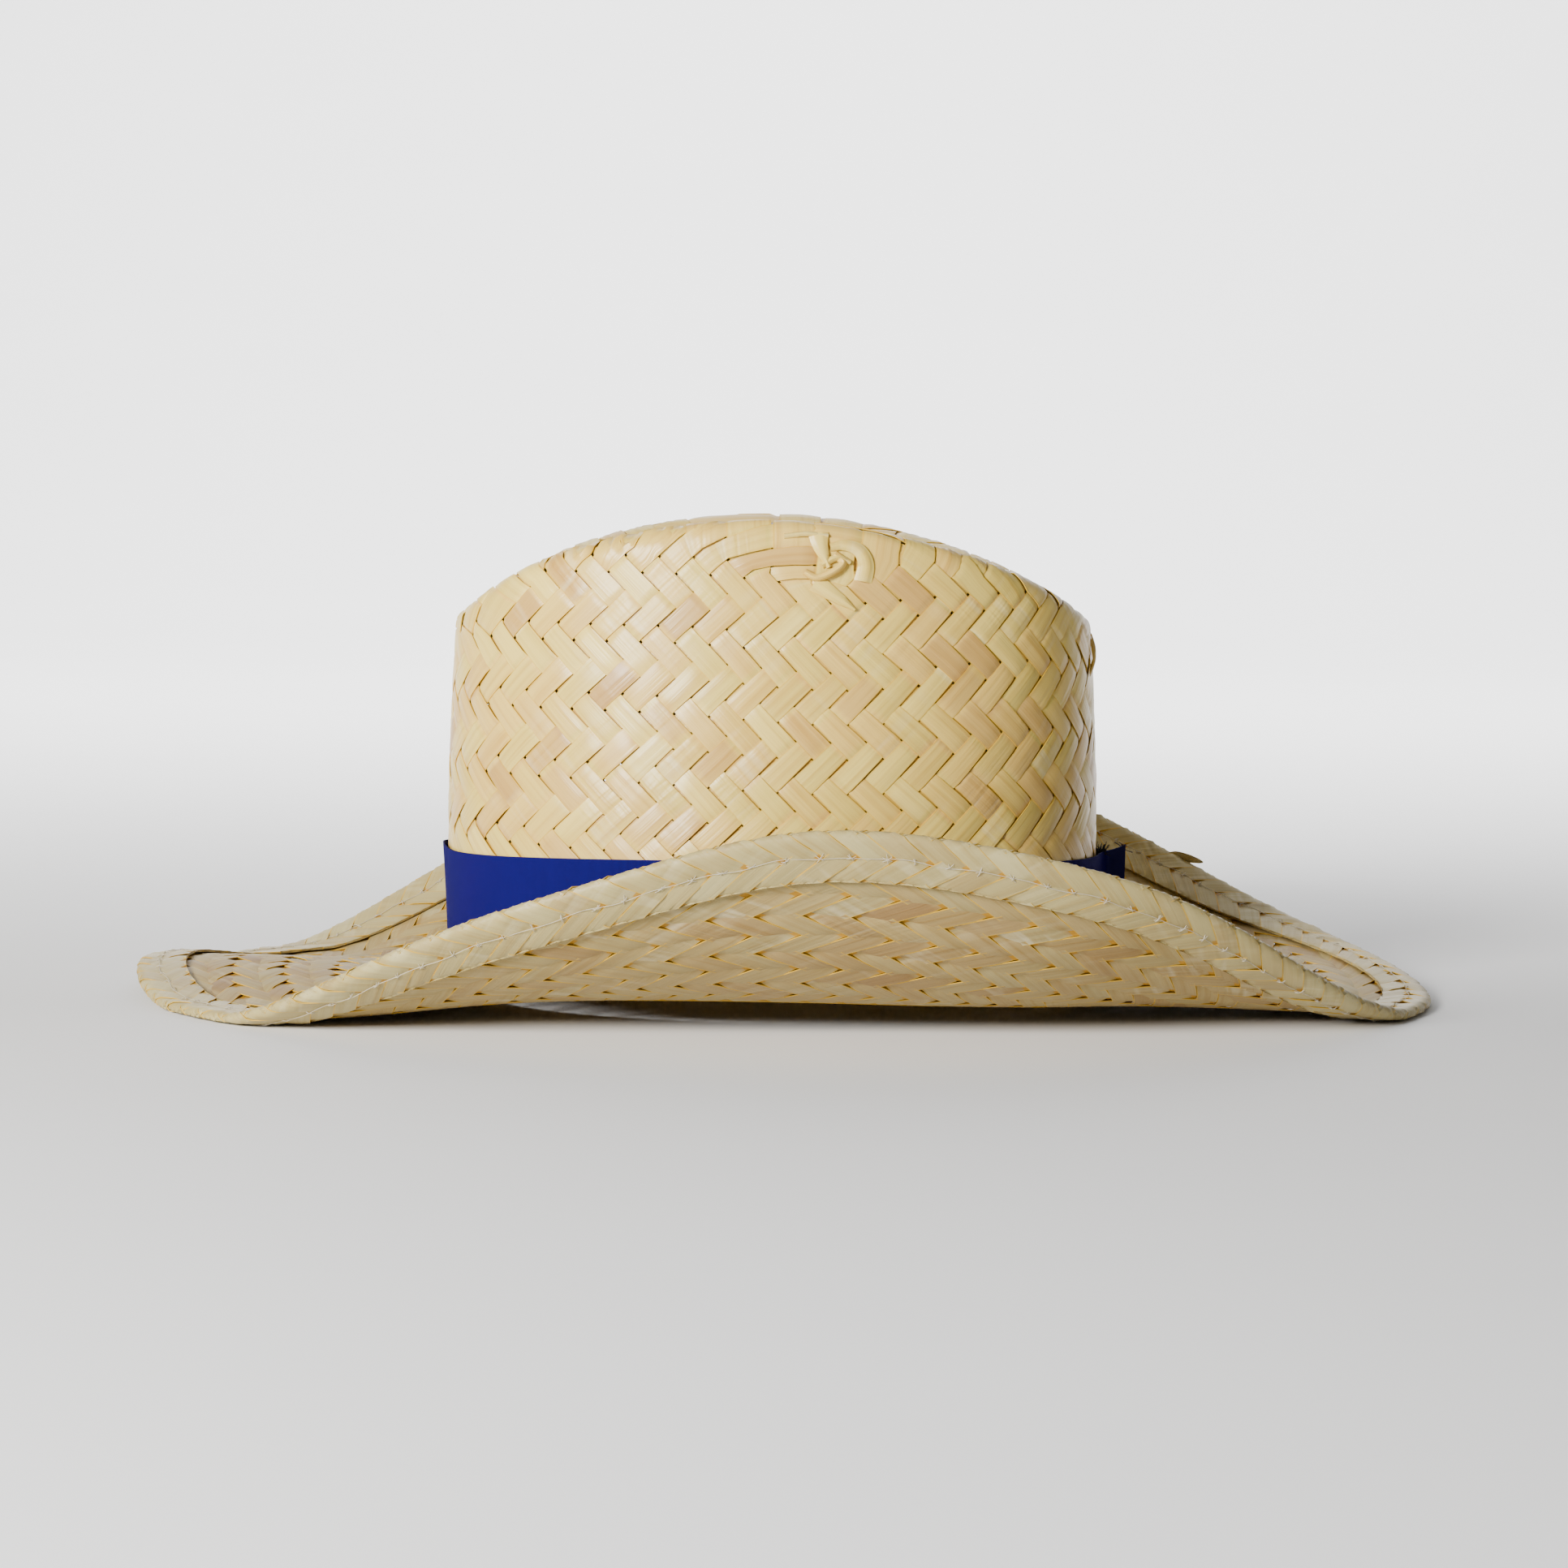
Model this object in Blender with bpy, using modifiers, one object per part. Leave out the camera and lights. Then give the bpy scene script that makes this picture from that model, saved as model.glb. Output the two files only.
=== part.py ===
"""Straw cowboy hat: crown, brim, folded edge binding and ribbon band.

Sizes are in millimetres and become metres when a mesh is made. +Z is up, the front of the hat is
toward -X and its left side toward -Y. The hat stands on its brim, which touches Z = 0.
Angles go round the hat from its back (0) over the right side (90) to its front (180).
"""

import bmesh
import bpy
import numpy as np

# Straw walls
WALL = 1.5
GAP = 0.3

# Crown: ovals at its base and round its top, then the two ridges and the crease between them
OVAL_SQUARENESS = 2.15
BASE_CENTRE_X = -4.0
BASE_HALF_LENGTH = 100.4
BASE_HALF_WIDTH = 82.5
TOP_CENTRE_X = -4.7
END_LEAN = 1.9
SIDE_LEAN = 13.5
TOP_HALF_LENGTH = BASE_HALF_LENGTH - END_LEAN
TOP_HALF_WIDTH = BASE_HALF_WIDTH - SIDE_LEAN
WALL_BULGE = 1.6
RIDGE_ROUNDING = 6.0
CREASE_DEPTH = 45.0
CREASE_LENGTH_SHARE = 0.80

# Height of the crown's top edge: degrees round, z
TOP_EDGE = [
    (0, 120.5),
    (15, 123.0),
    (30, 127.4),
    (45, 136.5),
    (60, 141.0),
    (75, 148.4),
    (90, 149.7),
    (105, 148.2),
    (120, 143.9),
    (135, 136.4),
    (150, 127.9),
    (165, 122.8),
    (180, 119.8),
]

# Brim, right round the hat: degrees round, x and half width of the rim, its height on the left and
# on the right, slope at the rim, height and slope where the brim leaves the crown
BRIM = [
    (0, 200.4, 0.0, 2.2, 2.2, -5.0, 7.0, -2.0),
    (15, 186.2, 51.5, 2.2, 8.6, 0.0, 6.8, -4.0),
    (30, 154.2, 90.5, 17.8, 22.6, 22.0, 6.4, -6.0),
    (45, 118.7, 120.5, 39.9, 38.9, 48.0, 6.4, -6.0),
    (60, 77.7, 136.5, 53.6, 56.0, 62.0, 7.0, -2.0),
    (75, 36.2, 142.5, 62.4, 62.4, 70.0, 8.0, 2.0),
    (90, -4.4, 143.5, 60.8, 62.0, 72.0, 8.6, 4.0),
    (105, -44.3, 140.5, 51.1, 55.0, 68.0, 8.4, 3.0),
    (120, -84.3, 132.5, 36.1, 41.0, 56.0, 7.6, 0.0),
    (135, -123.8, 115.7, 20.0, 24.0, 36.0, 6.8, -3.0),
    (142, -141.8, 104.0, 9.0, 11.0, 22.0, 6.6, -3.0),
    (150, -159.8, 88.5, 2.2, 2.2, 8.0, 6.4, -3.0),
    (165, -189.3, 50.0, 3.6, 3.9, -4.0, 6.2, -2.0),
    (180, -200.2, 0.0, 6.4, 6.4, -6.0, 6.0, -2.0),
]
BRIM_START_PULL = 0.95
BRIM_END_PULL = 1.1

# Braid folded over the brim's edge
BINDING_WALL = 1.0
BINDING_WIDTH = 13.5
FLOOR_TRIM = 0.35
LOWEST_MIDDLE = WALL / 2 + GAP + BINDING_WALL - FLOOR_TRIM

# Ribbon round the crown, with its two ends sewn together and standing out at the back
BAND_WALL = 0.9
BAND_WIDTH = 38.0
BAND_TOP_SIDE = 49.5
BAND_TOP_END = 46.0
TAIL_LENGTH = 8.5
TAIL_GAP = 0.5

# Fineness of the meshes
AROUND = 72
PROFILE_SAMPLES = 61
SPLINE_ORDER = 8
UNDER_BINDING = [BINDING_WIDTH * k / 4.0 for k in range(4, -1, -1)]

STRAW_COLOUR = (0.72, 0.58, 0.34, 1.0)
BINDING_COLOUR = (0.70, 0.55, 0.31, 1.0)
RIBBON_COLOUR = (0.02, 0.09, 0.42, 1.0)


def clear_scene():
    for item in list(bpy.data.objects):
        bpy.data.objects.remove(item)


def wave_fit(degrees, values):
    """Coefficients of a smooth closed curve of cosines and sines through values round the hat."""
    angles = np.radians(degrees)
    return np.linalg.lstsq(wave_terms(angles), np.asarray(values, float), rcond=None)[0]


def wave_terms(angles):
    """Cosine and sine terms of each angle, one row for each angle."""
    terms = [np.ones_like(angles)]
    for k in range(1, SPLINE_ORDER + 1):
        terms += [np.cos(k * angles), np.sin(k * angles)]
    return np.stack(terms, axis=-1)


def both_sides(table, left, right, sign=1.0):
    """Degrees and values right round, from a table's column for the right side and for the left."""
    degrees = [row[0] for row in table]
    values = [row[right] for row in table]
    for row in table[1:-1]:
        degrees.append(-row[0])
        values.append(sign * row[left])
    return wave_fit(degrees, values)


TOP_EDGE_Z = both_sides(TOP_EDGE, 1, 1)
RIM_X = both_sides(BRIM, 1, 1)
RIM_Y = both_sides(BRIM, 2, 2, sign=-1.0)
RIM_Z = both_sides(BRIM, 3, 4)
RIM_SLOPE = both_sides(BRIM, 5, 5)
ROOT_Z = both_sides(BRIM, 6, 6)
ROOT_SLOPE = both_sides(BRIM, 7, 7)


def at(curve, angles):
    return wave_terms(angles) @ curve


def oval(angles, centre, half_length, half_width):
    """Points of a slightly square oval, as x and y."""
    power = 2.0 / OVAL_SQUARENESS
    cos, sin = np.cos(angles), np.sin(angles)
    x = centre + half_length * np.sign(cos) * np.abs(cos) ** power
    y = half_width * np.sign(sin) * np.abs(sin) ** power
    return x, y


def unit(vectors):
    return vectors / np.linalg.norm(vectors, axis=-1, keepdims=True)


def base_oval(angles, outward=0.0):
    """The crown's outline at its base, moved outward along its own normal."""
    x, y = oval(angles, BASE_CENTRE_X, BASE_HALF_LENGTH, BASE_HALF_WIDTH)
    normal = oval_normal(angles)
    return np.stack([x, y], axis=-1) + outward * normal


def oval_normal(angles):
    """Outward direction in plan of the crown's base outline."""
    step = 1e-3
    ahead = np.stack(oval(angles + step, 0.0, BASE_HALF_LENGTH, BASE_HALF_WIDTH), axis=-1)
    behind = np.stack(oval(angles - step, 0.0, BASE_HALF_LENGTH, BASE_HALF_WIDTH), axis=-1)
    along = unit(ahead - behind)
    return np.stack([along[..., 1], -along[..., 0]], axis=-1)


def crown_bottom(angles):
    return at(ROOT_Z, angles) + WALL / 2 + 2 * GAP


def top_surface_height(x, y):
    """Height of the crown's top over a point in plan: two ridges with a crease between."""
    reach = np.clip((x - TOP_CENTRE_X) / TOP_HALF_LENGTH, -1.0, 1.0)
    turn = np.abs(reach) ** (OVAL_SQUARENESS / 2.0)
    angle = np.arccos(np.sign(reach) * np.clip(turn, 0.0, 1.0))
    half_width = TOP_HALF_WIDTH * (1.0 - np.abs(reach) ** OVAL_SQUARENESS) ** (1.0 / OVAL_SQUARENESS)
    share = np.clip(np.abs(y) / np.maximum(half_width, 1e-6), 0.0, 1.0)
    depth = CREASE_DEPTH * (1.0 - reach**2)
    return at(TOP_EDGE_Z, angle) - depth * (1.0 + np.cos(np.pi * share)) / 2.0


def crown_wall(angles, share):
    """Point of the crown's outer wall: share 0 is its base and 1 its sharp top edge."""
    bx, by = oval(angles, BASE_CENTRE_X, BASE_HALF_LENGTH, BASE_HALF_WIDTH)
    tx, ty = oval(angles, TOP_CENTRE_X, TOP_HALF_LENGTH, TOP_HALF_WIDTH)
    bulge = WALL_BULGE * np.sin(np.pi * share)[..., None] * oval_normal(angles)
    plan = np.stack([bx + (tx - bx) * share, by + (ty - by) * share], axis=-1) + bulge
    low = crown_bottom(angles)
    z = low + (at(TOP_EDGE_Z, angles) - low) * share
    return np.concatenate([plan, z[..., None]], axis=-1)


def crown_top(angles, share):
    """Point of the crown's top: share 0 is its edge and 1 the bottom of the crease."""
    ex, ey = oval(angles, TOP_CENTRE_X, TOP_HALF_LENGTH, TOP_HALF_WIDTH)
    kx = TOP_CENTRE_X + (ex - TOP_CENTRE_X) * CREASE_LENGTH_SHARE
    x = ex + (kx - ex) * share
    y = ey * (1.0 - share)
    return np.stack([x, y, top_surface_height(x, y)], axis=-1)


def crown_rings():
    """Rings of the crown's outer face from its base to the crease."""
    angles = np.radians(np.arange(AROUND) * 360.0 / AROUND)
    height = at(TOP_EDGE_Z, angles) - crown_bottom(angles)
    reach = np.linalg.norm(crown_top(angles, np.zeros(AROUND)) - crown_top(angles, np.ones(AROUND)), axis=-1)
    wall_end = 1.0 - RIDGE_ROUNDING / height
    top_start = np.minimum(RIDGE_ROUNDING / reach, 0.4)
    rings = [crown_wall(angles, wall_end * k / 4.0) for k in range(5)]
    start, end = rings[-1], crown_top(angles, top_start)
    corner = crown_wall(angles, np.ones(AROUND))
    for k in (0.25, 0.5, 0.75):
        rings.append((1 - k) ** 2 * start + 2 * k * (1 - k) * corner + k**2 * end)
    for k in range(5):
        rings.append(crown_top(angles, top_start + (1.0 - top_start) * k / 5.0))
    return rings


def brim_profile(angles):
    """Middle of the brim from the crown to the rim, many points for each angle."""
    inner = base_oval(angles, -WALL)
    root = np.concatenate([inner, at(ROOT_Z, angles)[:, None]], axis=-1)
    rim = np.stack([at(RIM_X, angles), at(RIM_Y, angles), at(RIM_Z, angles)], axis=-1)
    out = rim - root
    out[:, 2] = 0.0
    out = unit(out)
    chord = np.linalg.norm(rim - root, axis=-1, keepdims=True)
    start = BRIM_START_PULL * chord * leaning(oval_out(angles), at(ROOT_SLOPE, angles))
    end = BRIM_END_PULL * chord * leaning(out, at(RIM_SLOPE, angles))
    s = np.linspace(0.0, 1.0, PROFILE_SAMPLES)[None, :, None]
    profile = (2 * s**3 - 3 * s**2 + 1) * root[:, None] + (3 * s**2 - 2 * s**3) * rim[:, None]
    profile += (s**3 - 2 * s**2 + s) * start[:, None] + (s**3 - s**2) * end[:, None]
    profile[..., 2] = np.maximum(profile[..., 2], LOWEST_MIDDLE)
    return profile


def oval_out(angles):
    normal = oval_normal(angles)
    return np.concatenate([normal, np.zeros((len(angles), 1))], axis=-1)


def leaning(flat, degrees):
    """Level directions turned up by so many degrees."""
    lean = np.radians(degrees)[:, None]
    up = np.array([0.0, 0.0, 1.0])
    return flat * np.cos(lean) + up * np.sin(lean)


def brim_rings(distances):
    """Rings of the brim's middle at distances in from the rim, with the upward normal at each."""
    angles = np.radians(np.arange(AROUND) * 360.0 / AROUND)
    profile = brim_profile(angles)
    across = np.linalg.norm(np.diff(profile, axis=1), axis=-1)
    to_rim = np.concatenate([np.cumsum(across[:, ::-1], axis=1)[:, ::-1], np.zeros((AROUND, 1))], axis=1)
    around = np.roll(profile, -1, axis=0) - np.roll(profile, 1, axis=0)
    normals = unit(np.cross(np.gradient(profile, axis=1), around))
    rings = [(pick(profile, to_rim, d), unit(pick(normals, to_rim, d))) for d in distances]
    return rings, to_rim[:, 0]


def pick(values, to_rim, distance):
    """Values along each profile where it is so far in from the rim."""
    distance = np.broadcast_to(distance, len(to_rim))
    picked = np.empty((len(to_rim), 3))
    for i, line in enumerate(to_rim):
        for axis in range(3):
            picked[i, axis] = np.interp(-distance[i], -line, values[i, :, axis])
    return picked


def material(name, colour, roughness):
    made = bpy.data.materials.new(name)
    made.use_nodes = True
    shader = made.node_tree.nodes["Principled BSDF"]
    shader.inputs["Base Color"].default_value = colour
    shader.inputs["Roughness"].default_value = roughness
    made.diffuse_color = colour
    return made


def mesh_object(name, points, faces, made_of, home):
    mesh = bpy.data.meshes.new(name)
    mesh.from_pydata((np.asarray(points) / 1000.0).tolist(), [], faces)
    mesh.update()
    made = bpy.data.objects.new(name, mesh)
    home.objects.link(made)
    mesh.materials.append(made_of)
    mesh.shade_smooth()
    mesh.set_sharp_from_angle(angle=np.radians(40.0))
    return made


def sheet_faces(rows, columns, closed):
    """Quads between rows of points, with the last column joined to the first if closed."""
    faces = []
    for r in range(rows - 1):
        for c in range(columns if closed else columns - 1):
            n = (c + 1) % columns
            faces.append((r * columns + c, r * columns + n, (r + 1) * columns + n, (r + 1) * columns + c))
    return faces


def thicken(made, thickness, offset):
    """Solidify in metres: offset 1 adds material outward, -1 inward, 0 on both sides."""
    solid = made.modifiers.new("Wall", "SOLIDIFY")
    solid.thickness = thickness / 1000.0
    solid.offset = offset
    solid.use_even_offset = True
    solid.use_rim = True


def build_crown(home, straw):
    rings = crown_rings()
    faces = sheet_faces(len(rings), AROUND, True)
    points = np.concatenate(rings)
    last = (len(rings) - 1) * AROUND
    line = crown_top(np.radians(np.arange(AROUND // 2 + 1) * 360.0 / AROUND), np.ones(AROUND // 2 + 1))
    first_on_line = len(points)
    points = np.concatenate([points, line])
    for c in range(AROUND):
        n = (c + 1) % AROUND
        here = first_on_line + min(c, AROUND - c)
        there = first_on_line + min(n, AROUND - n)
        faces.append((last + c, last + n, there, here))
    crown = mesh_object("crown", points, faces, straw, home)
    thicken(crown, WALL, -1.0)
    return crown


def build_brim(home, straw):
    _, width = brim_rings([0.0])
    bare = [BINDING_WIDTH + (width - BINDING_WIDTH) * k / 6.0 for k in range(6, 0, -1)]
    rings, _ = brim_rings(bare + UNDER_BINDING)
    points = np.concatenate([ring for ring, _ in rings])
    brim = mesh_object("brim", points, sheet_faces(len(rings), AROUND, True), straw, home)
    thicken(brim, WALL, 0.0)
    return brim


def build_binding(home, braid):
    """A strip folded round the rim: over the top, round the edge and back under."""
    away = WALL / 2 + GAP
    rings, _ = brim_rings(UNDER_BINDING)
    inner, _ = brim_rings([0.0, 0.5])
    out = unit(inner[0][0] - inner[1][0])
    rows = [point + away * normal for point, normal in rings]
    edge, normal = rings[-1]
    for turn in (45.0, 90.0, 135.0):
        lean = np.radians(turn)
        rows.append(edge + away * (np.cos(lean) * normal + np.sin(lean) * out))
    rows += [point - away * normal for point, normal in reversed(rings)]
    points = np.concatenate(rows)
    binding = mesh_object("brim_binding", points, sheet_faces(len(rows), AROUND, True), braid, home)
    thicken(binding, BINDING_WALL, -1.0)
    return binding


def band_path(low, high):
    """Plan and height of the ribbon's inner face for one share of its width."""
    angles = np.radians(np.linspace(2.0, 358.0, AROUND))
    top = BAND_TOP_SIDE - (BAND_TOP_SIDE - BAND_TOP_END) * np.cos(angles) ** 2
    z = top - BAND_WIDTH * (1.0 - low / high)
    share = (z - crown_bottom(angles)) / (at(TOP_EDGE_Z, angles) - crown_bottom(angles))
    ring = crown_wall(angles, share)
    ring[:, :2] += GAP * oval_normal(angles)
    return ring


def build_band(home, ribbon):
    rows = []
    for k in range(3):
        ring = band_path(k, 2.0)
        near, far = ring[0].copy(), ring[-1].copy()
        near[1], far[1] = TAIL_GAP / 2, -TAIL_GAP / 2
        tip = np.array([TAIL_LENGTH, 0.0, 0.0])
        rows.append(np.concatenate([[near + tip, near + 0.1 * tip], ring, [far + 0.1 * tip, far + tip]]))
    points = np.concatenate(rows)
    band = mesh_object("hat_band", points, sheet_faces(len(rows), len(rows[0]), False), ribbon, home)
    thicken(band, BAND_WALL, 1.0)
    return band


def trim_on_floor(made, helpers):
    """Cuts the resting face flat at Z = 0."""
    mesh = bpy.data.meshes.new("floor_cutter")
    shape = bmesh.new()
    bmesh.ops.create_cube(shape, size=1.0)
    shape.to_mesh(mesh)
    shape.free()
    cutter = bpy.data.objects.new("floor_cutter", mesh)
    cutter.location = (0.0, 0.0, -0.05)
    cutter.scale = (1.0, 1.0, 0.1)
    cutter.display_type = "WIRE"
    cutter.hide_render = True
    helpers.objects.link(cutter)
    cut = made.modifiers.new("Floor", "BOOLEAN")
    cut.operation = "DIFFERENCE"
    cut.solver = "EXACT"
    cut.object = cutter


def main():
    clear_scene()
    home = bpy.data.collections.new("straw_cowboy_hat")
    helpers = bpy.data.collections.new("cutters")
    bpy.context.scene.collection.children.link(home)
    bpy.context.scene.collection.children.link(helpers)
    straw = material("straw", STRAW_COLOUR, 0.55)
    braid = material("straw_binding", BINDING_COLOUR, 0.55)
    ribbon = material("ribbon", RIBBON_COLOUR, 0.8)
    build_crown(home, straw)
    build_brim(home, straw)
    trim_on_floor(build_binding(home, braid), helpers)
    build_band(home, ribbon)


main()
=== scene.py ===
"""Straw cowboy hat on a pale floor: plaited straw crown and brim, stitched braid round the edge and a blue ribbon.

Lengths are in metres in the scene and in millimetres in the functions that shape the hat, which
turn them with MM. Angles go round the hat from its back (0) over the right side (90) to its front (180).
"""

import bpy
import numpy as np
from mathutils import Matrix, Vector
from mathutils.bvhtree import BVHTree

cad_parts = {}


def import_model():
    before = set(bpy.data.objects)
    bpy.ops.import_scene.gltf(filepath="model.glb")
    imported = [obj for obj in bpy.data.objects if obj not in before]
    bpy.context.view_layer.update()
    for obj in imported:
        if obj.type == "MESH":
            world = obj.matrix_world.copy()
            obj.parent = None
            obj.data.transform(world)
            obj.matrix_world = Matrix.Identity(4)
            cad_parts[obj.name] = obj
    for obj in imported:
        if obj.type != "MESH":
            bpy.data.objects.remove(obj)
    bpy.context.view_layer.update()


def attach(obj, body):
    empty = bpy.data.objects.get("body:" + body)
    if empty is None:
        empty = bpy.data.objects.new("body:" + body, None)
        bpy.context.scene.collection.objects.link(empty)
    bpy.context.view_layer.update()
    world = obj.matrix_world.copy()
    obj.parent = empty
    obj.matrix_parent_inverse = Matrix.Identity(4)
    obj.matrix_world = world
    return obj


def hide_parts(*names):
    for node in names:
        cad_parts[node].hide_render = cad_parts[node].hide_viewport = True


MM = 0.001
rng = np.random.default_rng(7)

# The hat's sizes and tables, as in the part
WALL = 1.5
GAP = 0.3
OVAL_SQUARENESS = 2.15
BASE_CENTRE_X = -4.0
BASE_HALF_LENGTH = 100.4
BASE_HALF_WIDTH = 82.5
TOP_CENTRE_X = -4.7
TOP_HALF_LENGTH = 98.5
TOP_HALF_WIDTH = 69.0
WALL_BULGE = 1.6
RIDGE_ROUNDING = 6.0
CREASE_DEPTH = 45.0
CREASE_LENGTH_SHARE = 0.80
BINDING_WIDTH = 13.5
WAVES = 8
LOWEST_MIDDLE = 1.7
LOWEST_BRAID = 1.0

# Degrees round, height of the crown's top edge
TOP_EDGE = [
    (0, 120.5),
    (15, 123.0),
    (30, 127.4),
    (45, 136.5),
    (60, 141.0),
    (75, 148.4),
    (90, 149.7),
    (105, 148.2),
    (120, 143.9),
    (135, 136.4),
    (150, 127.9),
    (165, 122.8),
    (180, 119.8),
]

# Degrees round, x and half width of the rim, its height on the left and on the right, its slope,
# height and slope where the brim leaves the crown
BRIM = [
    (0, 200.4, 0.0, 2.2, 2.2, -5.0, 7.0, -2.0),
    (15, 186.2, 51.5, 2.2, 8.6, 0.0, 6.8, -4.0),
    (30, 154.2, 90.5, 17.8, 22.6, 22.0, 6.4, -6.0),
    (45, 118.7, 120.5, 39.9, 38.9, 48.0, 6.4, -6.0),
    (60, 77.7, 136.5, 53.6, 56.0, 62.0, 7.0, -2.0),
    (75, 36.2, 142.5, 62.4, 62.4, 70.0, 8.0, 2.0),
    (90, -4.4, 143.5, 60.8, 62.0, 72.0, 8.6, 4.0),
    (105, -44.3, 140.5, 51.1, 55.0, 68.0, 8.4, 3.0),
    (120, -84.3, 132.5, 36.1, 41.0, 56.0, 7.6, 0.0),
    (135, -123.8, 115.7, 20.0, 24.0, 36.0, 6.8, -3.0),
    (142, -141.8, 104.0, 9.0, 11.0, 22.0, 6.6, -3.0),
    (150, -159.8, 88.5, 2.2, 2.2, 8.0, 6.4, -3.0),
    (165, -189.3, 50.0, 3.6, 3.9, -4.0, 6.2, -2.0),
    (180, -200.2, 0.0, 6.4, 6.4, -6.0, 6.0, -2.0),
]
BRIM_START_PULL = 0.95
BRIM_END_PULL = 1.1

# The plait
CROWN_STRIPS = 52
CROWN_STEP = 5.1
CORNER_Z = 133.5
# Column of the crown's crossings, degrees round: even over the far side, as seen on the near one
COLUMNS = [
    (-2, 0.0),
    (4, 22.2),
    (11, 44.0),
    (18, 65.5),
    (24, 84.0),
    (30, 103.0),
    (37, 125.5),
    (44, 149.5),
    (50, 180.0),
    (56, 199.7),
    (60, 221.0),
    (64, 235.6),
    (68, 248.6),
    (72, 259.6),
    (76, 270.6),
    (80, 282.2),
    (84, 294.0),
    (88, 307.5),
    (92, 322.7),
    (96, 339.3),
]
COLUMN_WAVES = 5
BRIM_STRIPS = 78
BRIM_FIRST = 0.7
# Row of the brim's crossings, distance out from the crown
BRIM_ROWS = [
    (0, -1.8),
    (4, 18.5),
    (6, 28.3),
    (8, 37.2),
    (10, 45.5),
    (12, 53.3),
    (14, 61.2),
    (18, 76.8),
    (22, 92.4),
    (26, 108.0),
]
BRAID_STRIPS = 108
BRAID_ROWS = 8
THREAD_RADIUS = 0.09
STITCH_PITCH = 9.0

# Loose straw at the near corner of the crown: each strip's width at both ends, then x, z and how far out
KNOT_AT = (13.0, 135.0)
KNOT = [
    (6.2, 1.6, [(-4.5, 10.6, 0.6), (-4.0, 7.2, 1.1), (-2.8, 4.0, 1.2), (-1.2, 0.8, 0.7)]),
    (2.0, 2.6, [(-8.4, -0.6, 0.6), (-4.7, -2.4, 1.4), (0.0, -0.6, 1.9), (2.8, 2.2, 1.5), (0.2, 4.6, 0.8)]),
    (2.4, 5.6, [(-1.0, 6.6, 0.5), (3.6, 7.2, 0.9), (7.6, 5.6, 1.0), (9.6, 1.6, 0.8), (8.8, -3.4, 0.3)]),
    (6.0, 1.2, [(-5.4, -3.6, 0.4), (-1.0, -6.6, 0.8), (3.4, -9.4, 0.7), (6.6, -11.6, 0.3)]),
    (1.6, 1.2, [(-14.6, 9.8, 0.4), (-8.0, 10.4, 0.9), (-1.6, 10.0, 0.5)]),
    (2.4, 1.4, [(-3.4, 1.4, 0.5), (1.2, 3.6, 1.3), (5.0, 2.2, 1.0)]),
]

# Straw colours from dull to light, for the plait and for the braid round the edge; the brim's and the braid's are
# darker copies of the crown's straw, with painted shade
STRAW_STOPS = [
    (0.0, (0.56, 0.327, 0.09)),
    (0.2, (0.72, 0.465, 0.126)),
    (0.4, (0.82, 0.554, 0.135)),
    (0.6, (0.76, 0.564, 0.126)),
    (0.8, (0.88, 0.653, 0.162)),
    (1.0, (0.95, 0.772, 0.288)),
]
# Painted shade: the crown's straw made about half as bright, for the shade that falls on the brim's strips
BRIM_SHADED_STOPS = [
    (0.0, (0.307, 0.191, 0.0727)),
    (0.25, (0.364, 0.249, 0.0969)),
    (0.5, (0.403, 0.296, 0.116)),
    (0.75, (0.393, 0.306, 0.127)),
    (1.0, (0.479, 0.392, 0.185)),
]
# Painted shade: the crown's straw made darker, for the shade on the braid round the edge and the loose end
EDGE_SHADED_STOPS = [
    (0.0, (0.378, 0.278, 0.108)),
    (0.3, (0.432, 0.339, 0.137)),
    (0.6, (0.45, 0.365, 0.151)),
    (1.0, (0.522, 0.444, 0.209)),
]
# Painted highlight: the pale colour laid on the crosswise creases, for the gloss on them
STRAW_CREASE_HIGHLIGHT = (0.97, 0.90, 0.62)
# Golden edge of each strip: partly the straw's own edge colour, partly painted shade along the edges of the strips
STRAW_RIM_AND_SHADE = (0.70, 0.42, 0.02)
# Painted shade: the dark colour of strips where they pass under other strips
STRAW_UNDER_SHADE = (0.46, 0.22, 0.005)
FIBRE_DARK = (0.84, 0.76, 0.62)

# The photograph's view
CAMERA_AT = (-0.0008, -1.300, 0.170)
CAMERA_ROLL = 0.0113

# The ribbon
RIBBON_WIDTH = 38.0
RIBBON_TOP_SIDE = 49.5
RIBBON_TOP_END = 46.0
RIBBON_AWAY = 0.55
RIBBON_THICKNESS = 0.45
RIBBON_HALF_GAP = 0.32
RIBBON_ROWS = 15
TAIL_LENGTH = 8.5

# Loops at the corners: width, then angle, z and how far out
WALL_LOOPS = [
    (5.5, [(355.0, 113.5, -0.1), (353.0, 110.5, 0.8), (351.0, 106.5, 0.9), (349.0, 102.5, -0.1)]),
]
LOOSE_END = [(129.4, 112.5, 32.1), (133.0, 110.4, 33.7), (137.2, 107.6, 33.5), (141.3, 104.4, 32.7)]
TUFT_AT = (98.2, -1.0, 45.6)
TAIL_END = (105.0, 0.0, 46.5)


def wave_terms(angles):
    terms = [np.ones_like(angles)]
    for k in range(1, WAVES + 1):
        terms += [np.cos(k * angles), np.sin(k * angles)]
    return np.stack(terms, axis=-1)


def both_sides(table, left, right, sign=1.0):
    """Coefficients of a smooth closed curve through a table's columns for the two sides."""
    degrees = [row[0] for row in table] + [-row[0] for row in table[1:-1]]
    values = [row[right] for row in table] + [sign * row[left] for row in table[1:-1]]
    return np.linalg.lstsq(wave_terms(np.radians(degrees)), np.array(values), rcond=None)[0]


def at(curve, angles):
    return wave_terms(angles) @ curve


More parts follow.
